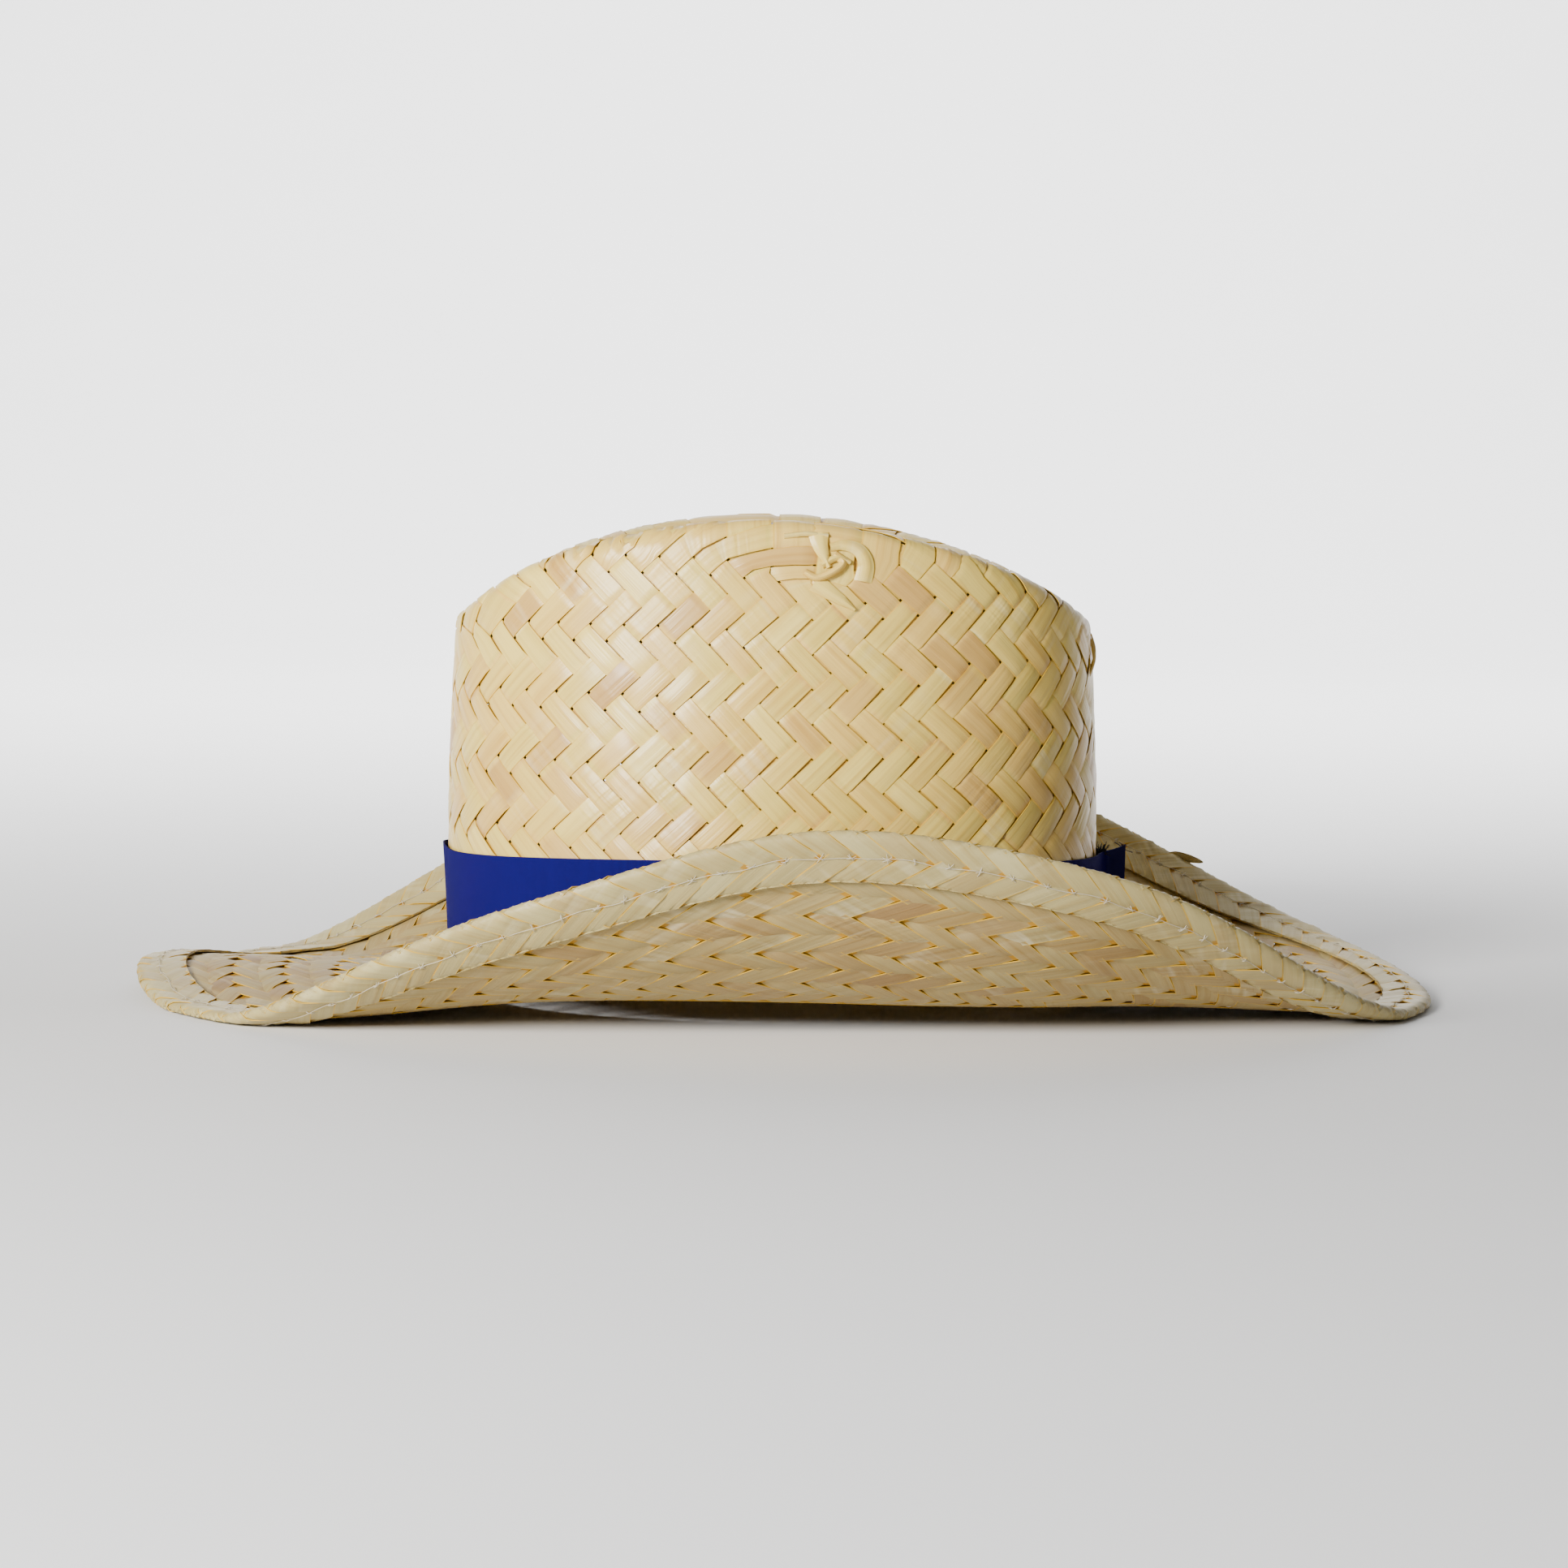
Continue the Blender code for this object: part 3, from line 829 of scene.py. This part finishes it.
def tube(path, radius, sides=5):
    """Points and faces of a thin thread along a path, closed at both ends."""
    ahead = unit(np.gradient(path, axis=0))
    side = unit(np.cross(ahead, np.array([0.31, 0.17, 0.93])))
    other = np.cross(ahead, side)
    turn = np.arange(sides) * 2 * np.pi / sides
    ring = np.cos(turn)[None, :, None] * side[:, None] + np.sin(turn)[None, :, None] * other[:, None]
    points = (path[:, None] + radius * ring).reshape(-1, 3)
    faces = [tuple(range(sides))[::-1], tuple(range(len(points) - sides, len(points)))]
    for i in range(len(path) - 1):
        for k in range(sides):
            n = (k + 1) % sides
            faces.append((i * sides + k, i * sides + n, (i + 1) * sides + n, (i + 1) * sides + k))
    return points, faces


def build_threads(name, paths, radius, material):
    points, faces = [], []
    for path in paths:
        first = sum(len(part) for part in points)
        more, sides = tube(np.asarray(path), radius)
        points.append(more)
        faces += [tuple(first + i for i in face) for face in sides]
    return new_mesh(name, np.concatenate(points) * MM, faces, material, 60.0)


def sewing(fold, turn):
    """The thread along the middle of both faces of the edge braid, and its small stitches."""
    girth = 1092.0
    paths = []
    for share in (0.25, 0.75):
        distance = share * fold.across
        rounds = np.linspace(0.0, 1.0, 721)
        wander = 0.35 * np.sin(rounds * 2 * np.pi * 37) + 0.25 * np.sin(rounds * 2 * np.pi * 61 + 1.0)
        point, normal = fold.sample(turn(rounds), distance + wander)
        height = 0.62 + 0.1 * np.sin(rounds * 2 * np.pi * 53)
        paths.append(point + height[:, None] * normal)
        for k in range(int(girth / STITCH_PITCH)):
            place = (k + rng.uniform(-0.12, 0.12)) * STITCH_PITCH / girth
            for _ in range(3):
                lean = rng.uniform(0.0, np.pi)
                reach = rng.uniform(0.8, 1.7) * np.array([-1.0, -0.4, 0.3, 1.0])
                spots = place + reach * np.cos(lean) / girth
                point, normal = fold.sample(turn(spots), distance + reach * np.sin(lean))
                rise = np.array([0.35, 0.8, 0.85, 0.4])
                paths.append(point + rise[:, None] * normal)
    return paths


def curve_through(points, count):
    """Smooth path through a few points."""
    points = np.array(points, float)
    marks = np.linspace(0.0, len(points) - 1.0, count)
    padded = np.concatenate([[2 * points[0] - points[1]], points, [2 * points[-1] - points[-2]]])
    i = np.minimum(marks.astype(int), len(points) - 2)
    t = (marks - i)[:, None]
    a, b, c, d = padded[i], padded[i + 1], padded[i + 2], padded[i + 3]
    return 0.5 * (2 * b + (c - a) * t + (2 * a - 5 * b + 4 * c - d) * t**2 + (3 * b - a - 3 * c + d) * t**3)


def wall_loops(plait):
    """Strips that stand off the wall in a loop, one for each row of WALL_LOOPS: a single loop, at the back corner of
    the crown.
    """
    for width, spots in WALL_LOOPS:
        path = curve_through(spots, 16)
        angles = np.radians(path[:, 0])
        lines, normals = [], []
        for share in np.linspace(-0.5, 0.5, 5):
            turned = angles + share * width / 95.0
            z = path[:, 1] + 0.5 * share * width
            low = crown_bottom(turned)
            place = crown_wall(turned, (z - low) / (at(TOP_EDGE_Z, turned) - low))
            normal = np.concatenate([oval_normal(turned), np.zeros((16, 1))], axis=1)
            lines.append(place + (path[:, 2:] - 0.5 * abs(share)) * normal)
            normals.append(normal)
        lines, normals = np.array(lines), np.array(normals)
        lengthwise = np.gradient(lines.mean(axis=0), axis=0)
        if np.einsum("ij,ij->i", np.cross(lengthwise, lines[-1] - lines[0]), normals[0]).sum() < 0:
            lines, normals = lines[::-1], normals[::-1]
        plait.strip(lines, normals, np.full(16, 0.02), curl=0.0)


def fold_ring(brim, straw):
    """Strip that runs round the fold under the brim's inner ends, so that no light shows between them."""
    plait = Plait(thickness=0.26, camber=0.0, lift=0.0)
    angles = np.linspace(0.0, 2 * np.pi, 241)
    lines, normals = [], []
    for out in np.linspace(4.2, 0.0, 5):
        point, normal = brim.sample(angles, np.full(241, out))
        lines.append(point - 0.5 * normal)
        normals.append(normal)
    plait.strip(np.array(lines), np.array(normals), np.full(241, 0.02), curl=0.0)
    return plait.build("fold_ring", straw)


def loose_end(straw):
    """A strip's end that stands out of the braid at the back of the far rim."""
    plait = Plait(thickness=0.26, camber=0.2, lift=0.0)
    path = curve_through(LOOSE_END, 14)
    width = (4.6 * np.linspace(1.0, 0.0, 14) ** 0.6 + 0.5)[:, None]
    down, normal = unit(np.array([0.25, 0.05, -0.95])), unit(np.array([0.1, -0.9, 0.35]))
    lines = np.array([path + share * width * down for share in np.linspace(-0.5, 0.5, 5)])
    plait.strip(lines[::-1], np.broadcast_to(normal, lines.shape).copy(), np.full(14, 0.02), curl=0.0)
    return plait.build("loose_end", straw)


def hairs(count, root, spread, ahead, length):
    """Short curly paths from about one place."""
    paths = []
    for _ in range(count):
        start = np.array(root) + rng.uniform(-1.0, 1.0, 3) * spread
        way = unit(np.array(ahead) + rng.normal(0.0, 0.55, 3))
        bend = rng.normal(0.0, 0.5, 3)
        run = np.linspace(0.0, 1.0, 6)[:, None]
        paths.append(start + length * rng.uniform(0.6, 1.0) * (run * way + run**2 * bend))
    return paths


def loose_straw(tree, straw):
    """The strips that end in a small knot at the crown's near corner, laid on the crown as seen from the side."""
    plait = Plait(thickness=0.26, camber=0.5, lift=0.0)
    for start, end, spots in KNOT:
        path = curve_through(spots, 22)
        width = np.linspace(start, end, 22)[:, None]
        ahead = unit(np.gradient(path[:, :2], axis=0))
        beside = np.stack([-ahead[:, 1], ahead[:, 0]], axis=1)
        lines, normals = [], []
        for share in np.linspace(-0.5, 0.5, 5):
            flat = path[:, :2] + np.array(KNOT_AT) + share * width * beside
            found = []
            for (x, z), rise in zip(flat, path[:, 2]):
                hit = tree.ray_cast(Vector((x, -200.0, z)), Vector((0.0, 1.0, 0.0)))
                place, normal = hit[:2] if hit[0] else tree.find_nearest(Vector((x, -60.0, z)))[:2]
                normal = np.array(normal if normal.dot(Vector((0.0, -1.0, 0.6))) > 0 else -normal)
                found.append((np.array(place) + (rise - 0.9 * abs(share)) * normal, normal))
            lines.append(np.array([spot[0] for spot in found]))
            normals.append(smooth_rows(np.array([spot[1] for spot in found])))
        plait.strip(np.array(lines), np.array(normals), np.full(22, 0.02), curl=0.0)
    wall_loops(plait)
    return plait.build("loose_strips", straw)


class Shader:
    """Short calls to make and link a material's nodes."""

    def __init__(self, name):
        self.material = bpy.data.materials.new(name)
        self.material.use_nodes = True
        self.tree = self.material.node_tree
        self.surface = self.tree.nodes["Principled BSDF"]

    def node(self, kind, **values):
        made = self.tree.nodes.new(kind)
        for name, value in values.items():
            socket = made.inputs.get(name.replace("_", " "))
            if socket is None:
                setattr(made, name, value)
            elif isinstance(value, bpy.types.NodeSocket):
                self.tree.links.new(value, socket)
            else:
                socket.default_value = value
        return made

    def fibres(self, scale, where, detail=3.0, distortion=0.0):
        """Noise drawn out along the fibres; scale is a vector in turns per centimetre."""
        mapping = self.node("ShaderNodeMapping", Vector=where)
        mapping.inputs["Scale"].default_value = scale
        noise = self.node("ShaderNodeTexNoise", Vector=mapping.outputs[0], Scale=1.0, Detail=detail, Roughness=0.6)
        noise.inputs["Distortion"].default_value = distortion
        return noise.outputs["Fac"]

    def ramp(self, value, stops):
        made = self.node("ShaderNodeValToRGB", Fac=value)
        elements = made.color_ramp.elements
        elements[0].position, elements[0].color = stops[0][0], (*stops[0][1], 1.0)
        elements[1].position, elements[1].color = stops[-1][0], (*stops[-1][1], 1.0)
        for place, colour in stops[1:-1]:
            elements.new(place).color = (*colour, 1.0)
        return made.outputs["Color"]

    def math(self, operation, a, b, clamp=False):
        made = self.node("ShaderNodeMath", operation=operation, use_clamp=clamp)
        for socket, value in zip(made.inputs, (a, b)):
            if isinstance(value, bpy.types.NodeSocket):
                self.tree.links.new(value, socket)
            else:
                socket.default_value = value
        return made.outputs[0]

    def mix(self, factor, a, b, blend="MIX"):
        made = self.node("ShaderNodeMix", data_type="RGBA", blend_type=blend)
        for socket, value in zip((made.inputs[0], made.inputs[6], made.inputs[7]), (factor, a, b)):
            if isinstance(value, bpy.types.NodeSocket):
                self.tree.links.new(value, socket)
            else:
                socket.default_value = value if socket.type == "VALUE" else (*value, 1.0)
        return made.outputs[2]

    def finish(self, colour, roughness, bump=None, strength=0.3, distance=0.0002):
        self.link(colour, "Base Color")
        self.link(roughness, "Roughness")
        if bump is not None:
            made = self.node("ShaderNodeBump", Height=bump)
            made.inputs["Strength"].default_value = strength
            made.inputs["Distance"].default_value = distance
            self.tree.links.new(made.outputs["Normal"], self.surface.inputs["Normal"])
        return self.material

    def link(self, value, socket):
        if isinstance(value, bpy.types.NodeSocket):
            self.tree.links.new(value, self.surface.inputs[socket])
        elif isinstance(value, tuple):
            self.surface.inputs[socket].default_value = (*value, 1.0)
        else:
            self.surface.inputs[socket].default_value = value


def straw_material(name, stops, fibre_dark, dull=0.0):
    """Split palm straw: a colour for each run of strip, long fibres, faint crosswise creases with a painted highlight
    on them, a golden rim along the edges that is partly painted shade, and painted shade where a strip lies under
    another.
    """
    s = Shader(name)
    where = s.node("ShaderNodeUVMap", uv_map="Fibres").outputs["UV"]
    across = s.node("ShaderNodeSeparateXYZ", Vector=s.node("ShaderNodeUVMap", uv_map="Across").outputs["UV"]).outputs["X"]
    tint = s.node("ShaderNodeAttribute", attribute_name="tint").outputs["Fac"]
    wide = s.fibres((0.5, 3.0, 1.0), where, detail=2.0)
    fine = s.fibres((1.2, 40.0, 1.0), where, detail=3.0, distortion=0.1)
    crease = s.fibres((22.0, 2.5, 1.0), where, detail=2.0, distortion=0.4)
    creased = s.ramp(s.fibres((0.8, 1.2, 1.0), where, detail=1.0), [(0.45, (0.0, 0.0, 0.0)), (0.65, (1.0, 1.0, 1.0))])
    colour = s.ramp(s.math("ADD", tint, s.math("MULTIPLY", s.math("SUBTRACT", wide, 0.5), 0.4)), stops)
    streaks = s.ramp(fine, [(0.30, fibre_dark), (0.52, (1.0, 1.0, 1.0)), (0.78, (1.05, 1.06, 1.1))])
    colour = s.mix(1.0, colour, streaks, "MULTIPLY")
    # Painted highlight: the creases in creased patches are mixed toward a pale colour, for their gloss
    lines = s.math("MULTIPLY", s.ramp(crease, [(0.52, (0.0, 0.0, 0.0)), (0.66, (1.0, 1.0, 1.0))]), creased)
    colour = s.mix(s.math("MULTIPLY", lines, 0.3), colour, STRAW_CREASE_HIGHLIGHT)
    # Golden band at both edges of a strip: partly its own edge colour, partly painted shade along the edges
    from_middle = s.math("ABSOLUTE", s.math("SUBTRACT", across, 0.5), 0.0)
    rim = s.ramp(from_middle, [(0.455, (0.0, 0.0, 0.0)), (0.49, (1.0, 1.0, 1.0))])
    colour = s.mix(s.math("MULTIPLY", rim, 0.7), colour, STRAW_RIM_AND_SHADE)
    # Painted shade: faces marked as lying under a crossing strip are mixed toward a dark brown
    under_shade = s.node("ShaderNodeAttribute", attribute_name="under_shade").outputs["Fac"]
    under_shade = s.ramp(under_shade, [(0.82, (0.0, 0.0, 0.0)), (1.0, (1.0, 1.0, 1.0))])
    colour = s.mix(s.math("MULTIPLY", under_shade, 0.85), colour, STRAW_UNDER_SHADE)
    rough = s.math("ADD", 0.24 + 0.2 * dull, s.math("MULTIPLY", wide, 0.22))
    s.surface.inputs["Specular IOR Level"].default_value = 0.42 - 0.22 * dull
    height = s.math("ADD", s.math("MULTIPLY", fine, 0.7), s.math("MULTIPLY", s.math("MULTIPLY", crease, creased), 1.6))
    return s.finish(colour, rough, height, strength=1.0, distance=0.0004)


def thread_material():
    s = Shader("pale_thread")
    grain = s.node("ShaderNodeTexNoise", Scale=900.0, Detail=2.0).outputs["Fac"]
    return s.finish(s.ramp(grain, [(0.2, (0.46, 0.40, 0.28)), (0.8, (0.66, 0.60, 0.46))]), 0.7)


def dark_thread(name, grey, blue):
    s = Shader(name)
    grain = s.node("ShaderNodeTexNoise", Scale=700.0, Detail=2.0).outputs["Fac"]
    stops = [(0.2, (grey, grey, blue)), (0.8, (2 * grey, 2 * grey, 1.6 * blue))]
    return s.finish(s.ramp(grain, stops), 0.8)


def ribbon_material():
    """Royal blue grosgrain ribbon: close crosswise ribs, a fine thread grain and a soft sheen."""
    s = Shader("ribbon_cloth")
    where = s.node("ShaderNodeUVMap", uv_map="Fibres").outputs["UV"]
    worn = s.node("ShaderNodeAttribute", attribute_name="tint").outputs["Fac"]
    grain = s.node("ShaderNodeTexNoise", Scale=1900.0, Detail=3.0, Roughness=0.75).outputs["Fac"]
    broad = s.fibres((1.2, 1.0, 1.0), where, detail=2.0)
    ribs = s.node("ShaderNodeTexWave", Vector=where, Scale=11.0, Distortion=0.6, Detail=1.0)
    ribs.inputs["Detail Scale"].default_value = 3.0
    level = s.math("ADD", s.math("MULTIPLY", grain, 0.7), s.math("MULTIPLY", ribs.outputs["Fac"], 0.3))
    colour = s.ramp(level, [(0.34, (0.002, 0.001, 0.03)), (0.5, (0.005, 0.001, 0.08)), (0.66, (0.018, 0.010, 0.22))])
    dull = s.mix(broad, colour, (0.005, 0.002, 0.07))
    colour = s.mix(worn, s.mix(0.35, colour, dull), (0.02, 0.02, 0.12))
    s.surface.inputs["Specular IOR Level"].default_value = 0.06
    return s.finish(colour, 0.82, level, strength=0.5, distance=0.0002)


def ribbon_rows(count):
    """Plan curves of the ribbon for rows up its width, each from one tail end round the hat to the other."""
    angles = np.radians(np.concatenate([np.linspace(1.6, 8.0, 9)[:-1], np.linspace(8.0, 352.0, 345), np.linspace(352.0, 358.4, 9)[1:]]))
    rows = []
    for k in np.linspace(0.0, 1.0, count):
        top = RIBBON_TOP_SIDE - (RIBBON_TOP_SIDE - RIBBON_TOP_END) * np.cos(angles) ** 2
        z = top - RIBBON_WIDTH * (1.0 - k)
        share = (z - crown_bottom(angles)) / (at(TOP_EDGE_Z, angles) - crown_bottom(angles))
        ring = crown_wall(angles, share)
        turned = np.degrees(angles)
        front = np.exp(-(((turned - 183.0) / 9.0) ** 2))
        ripple = 0.12 * np.sin(7 * angles + 2.0) + 0.08 * np.sin(17 * angles)
        stand = RIBBON_AWAY + k * (0.25 + ripple) + 0.9 * front * k**3
        stand = stand + 1.2 * np.exp(-((np.minimum(turned, 360.0 - turned) / 5.0) ** 2))
        ring[:, :2] += stand[:, None] * oval_normal(angles)
        ring[:, 2] += 1.3 * front * k**4
        out = np.linspace(TAIL_LENGTH - 1.0, 1.4, 9)
        flare = 2.6 * k**3 * (np.clip(out, 0.0, 9.0) / 9.0) ** 2 + 0.5 * k**2 * (np.clip(out, 0.0, 9.0) / 9.0)
        ends = []
        for sign in (1.0, -1.0):
            foot = ring[0] if sign > 0 else ring[-1]
            tail = np.stack([ring[0, 0] * 0 + 0.5 * (ring[0, 0] + ring[-1, 0]) + out, sign * RIBBON_HALF_GAP * np.ones(9), foot[2] + flare], axis=-1)
            sway = 0.5 * np.sin(3.0 * k + 0.5) * (out / 9.0) ** 2
            tail[:, 1] += sway
            ends.append(tail)
        rows.append(np.concatenate([ends[0], ring, ends[1][::-1]]))
    return np.array(rows)


def build_ribbon(cloth):
    rows = ribbon_rows(RIBBON_ROWS)
    for _ in range(2):
        rows[:, 1:-1] = 0.25 * rows[:, :-2] + 0.5 * rows[:, 1:-1] + 0.25 * rows[:, 2:]
    columns = rows.shape[1]
    along = np.gradient(rows, axis=1)
    up = np.gradient(rows, axis=0)
    normals = unit(np.cross(along, up))
    face = rows + 0.5 * RIBBON_THICKNESS * normals
    back = rows - 0.5 * RIBBON_THICKNESS * normals
    points = np.concatenate([face.reshape(-1, 3), back.reshape(-1, 3)])
    size = RIBBON_ROWS * columns
    faces = []
    for r in range(RIBBON_ROWS - 1):
        for c in range(columns - 1):
            a, b = r * columns + c, (r + 1) * columns + c
            faces.append((a, a + 1, b + 1, b))
            faces.append((size + a, size + b, size + b + 1, size + a + 1))
    rim = [(0, c) for c in range(columns)] + [(r, columns - 1) for r in range(1, RIBBON_ROWS)]
    rim += [(RIBBON_ROWS - 1, c) for c in range(columns - 2, -1, -1)] + [(r, 0) for r in range(RIBBON_ROWS - 2, 0, -1)]
    for (r0, c0), (r1, c1) in zip(rim, rim[1:] + rim[:1]):
        a, b = r0 * columns + c0, r1 * columns + c1
        faces.append((b, a, size + a, size + b))
    made = new_mesh("ribbon", points * MM, faces, cloth, 60.0)
    distance = np.concatenate([[0.0], np.cumsum(np.linalg.norm(np.diff(rows[RIBBON_ROWS // 2], axis=0), axis=1))])
    rise = np.linspace(0.0, RIBBON_WIDTH, RIBBON_ROWS)
    uv = np.stack(np.broadcast_arrays(distance[None, :], rise[:, None]), axis=-1).reshape(-1, 2) * MM * 100
    uv = np.concatenate([uv, uv + 3.0])
    index = np.empty(len(made.data.loops), int)
    made.data.loops.foreach_get("vertex_index", index)
    made.data.uv_layers.new(name="Fibres").data.foreach_set("uv", uv[index].astype(np.float32).ravel())
    from_end = np.minimum(distance, distance[-1] - distance)
    worn = np.clip((6.5 - from_end) / 1.2, 0.0, 1.0)
    worn = np.tile(worn, 2 * RIBBON_ROWS)
    made.data.attributes.new("tint", "FLOAT", "POINT").data.foreach_set("value", worn.astype(np.float32))
    return made, distance[-1]


def add_camera():
    data = bpy.data.cameras.new("camera")
    data.lens = 95.68
    data.sensor_width = 36.0
    camera = bpy.data.objects.new("camera", data)
    bpy.context.scene.collection.objects.link(camera)
    tilt = np.arctan2(966.0 - 555.0, 5135.0)
    turn = Matrix.Rotation(np.pi / 2 - tilt, 4, "X") @ Matrix.Rotation(CAMERA_ROLL, 4, "Z")
    camera.matrix_world = Matrix.Translation(CAMERA_AT) @ turn
    bpy.context.scene.camera = camera


def area_light(name, place, target, size, power, colour=(1.0, 1.0, 1.0)):
    data = bpy.data.lights.new(name, "AREA")
    data.shape = "RECTANGLE"
    data.size, data.size_y = size
    data.energy, data.color = power, colour
    lamp = bpy.data.objects.new(name, data)
    bpy.context.scene.collection.objects.link(lamp)
    lamp.location = place
    lamp.rotation_mode = "QUATERNION"
    lamp.rotation_quaternion = (Vector(target) - Vector(place)).to_track_quat("-Z", "Y")


def add_stage():
    s = Shader("pale_floor")
    s.surface.inputs["Specular IOR Level"].default_value = 0.1
    grain = s.node("ShaderNodeTexNoise", Scale=60.0, Detail=3.0).outputs["Fac"]
    floor = s.finish(s.ramp(grain, [(0.0, (0.87, 0.87, 0.875)), (1.0, (0.90, 0.90, 0.90))]), 0.9)
    bend = [(2.0 + 1.5 * np.sin(t), 1.5 - 1.5 * np.cos(t)) for t in np.linspace(0.0, np.pi / 2, 13)]
    section = [(-4.0, 0.0)] + bend + [(3.5, 5.0)]
    points = [(x, y, z) for y, z in section for x in (-6.0, 6.0)]
    faces = [(2 * i, 2 * i + 1, 2 * i + 3, 2 * i + 2) for i in range(len(section) - 1)]
    made = new_mesh("floor", points, faces, floor, 60.0)
    world = bpy.data.worlds.new("studio")
    bpy.context.scene.world = world
    world.use_nodes = True
    background = world.node_tree.nodes["Background"]
    background.inputs["Color"].default_value = (1.0, 1.0, 1.0, 1.0)
    background.inputs["Strength"].default_value = 0.12
    area_light("key", (-0.94, -1.26, 0.62), (0.0, 0.0, 0.05), (0.5, 0.5), 58.0, (1.0, 0.99, 0.97))
    area_light("backdrop", (0.0, 0.9, 1.9), (0.0, 3.3, 0.7), (3.0, 0.8), 260.0)


def main():
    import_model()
    straw = straw_material("palm_straw", STRAW_STOPS, FIBRE_DARK)
    # Painted shade: the brim's straw and the edge braid's straw are darker copies of the crown's straw
    brim_straw_painted_shade = straw_material("brim_straw_painted_shade", BRIM_SHADED_STOPS, FIBRE_DARK, dull=1.0)
    edge_straw_painted_shade = straw_material("edge_straw_painted_shade", EDGE_SHADED_STOPS, FIBRE_DARK, dull=0.5)
    lattice = CrownLattice()
    for piece in weave_crown(lattice, straw) + [loose_straw(lattice.tree, straw)]:
        dress(piece, "crown")
    brim, width = brim_sheet()
    turn = even_angles(rim_points)
    widths = np.concatenate([width, width[:1]])
    rows, distances = np.array(BRIM_ROWS, float).T

    def brim_end(angle):
        degrees = np.mod(np.degrees(angle), 360.0)
        return np.interp(degrees, np.arange(361), widths) - 3.0

    def brim_out(row):
        return np.interp(row, rows, distances)

    look = {"first": BRIM_FIRST, "thickness": 0.3, "camber": 0.16, "lift": 0.34}
    for piece in weave_sheet("brim_strips", brim, turn, BRIM_STRIPS, brim_out, brim_end, brim_straw_painted_shade, **look):
        dress(piece, "brim")
    dress(fold_ring(brim, brim_straw_painted_shade), "brim")
    dress(loose_end(edge_straw_painted_shade), "brim_binding")
    fold = fold_sheet(brim, width, 1.55)

    def braid_out(row):
        return row * fold.across / BRAID_ROWS

    def braid_flat(row):
        return 1.0 - 0.8 * np.exp(-(((row - BRAID_ROWS / 2) / 0.55) ** 2))

    look = {"width": 0.5, "lines": 9, "flat": braid_flat, "thickness": 0.26, "camber": 0.08, "lift": 0.24}
    for piece in weave_sheet("edge_braid", fold, turn, BRAID_STRIPS, braid_out, BRAID_ROWS, edge_straw_painted_shade, **look):
        dress(piece, "brim_binding")
    thread = build_threads("edge_thread", sewing(fold, turn), THREAD_RADIUS, thread_material())
    dress(thread, "brim_binding")
    ribbon, length = build_ribbon(ribbon_material())
    dress(ribbon, "hat_band")
    tuft = hairs(110, TUFT_AT, np.array([1.5, 1.6, 0.4]), (0.1, -0.1, 0.7), 2.0)
    dress(build_threads("dark_tuft", tuft, 0.1, dark_thread("dark_fuzz", 0.008, 0.012)), "hat_band")
    frayed = hairs(9, TAIL_END, np.array([0.2, 0.3, 2.0]), (0.7, -0.2, 0.1), 2.6)
    dress(build_threads("frayed_threads", frayed, 0.12, dark_thread("blue_thread", 0.008, 0.06)), "hat_band")
    add_stage()
    add_camera()


def dress(piece, node):
    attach(piece, "root")
    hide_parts(node)


main()
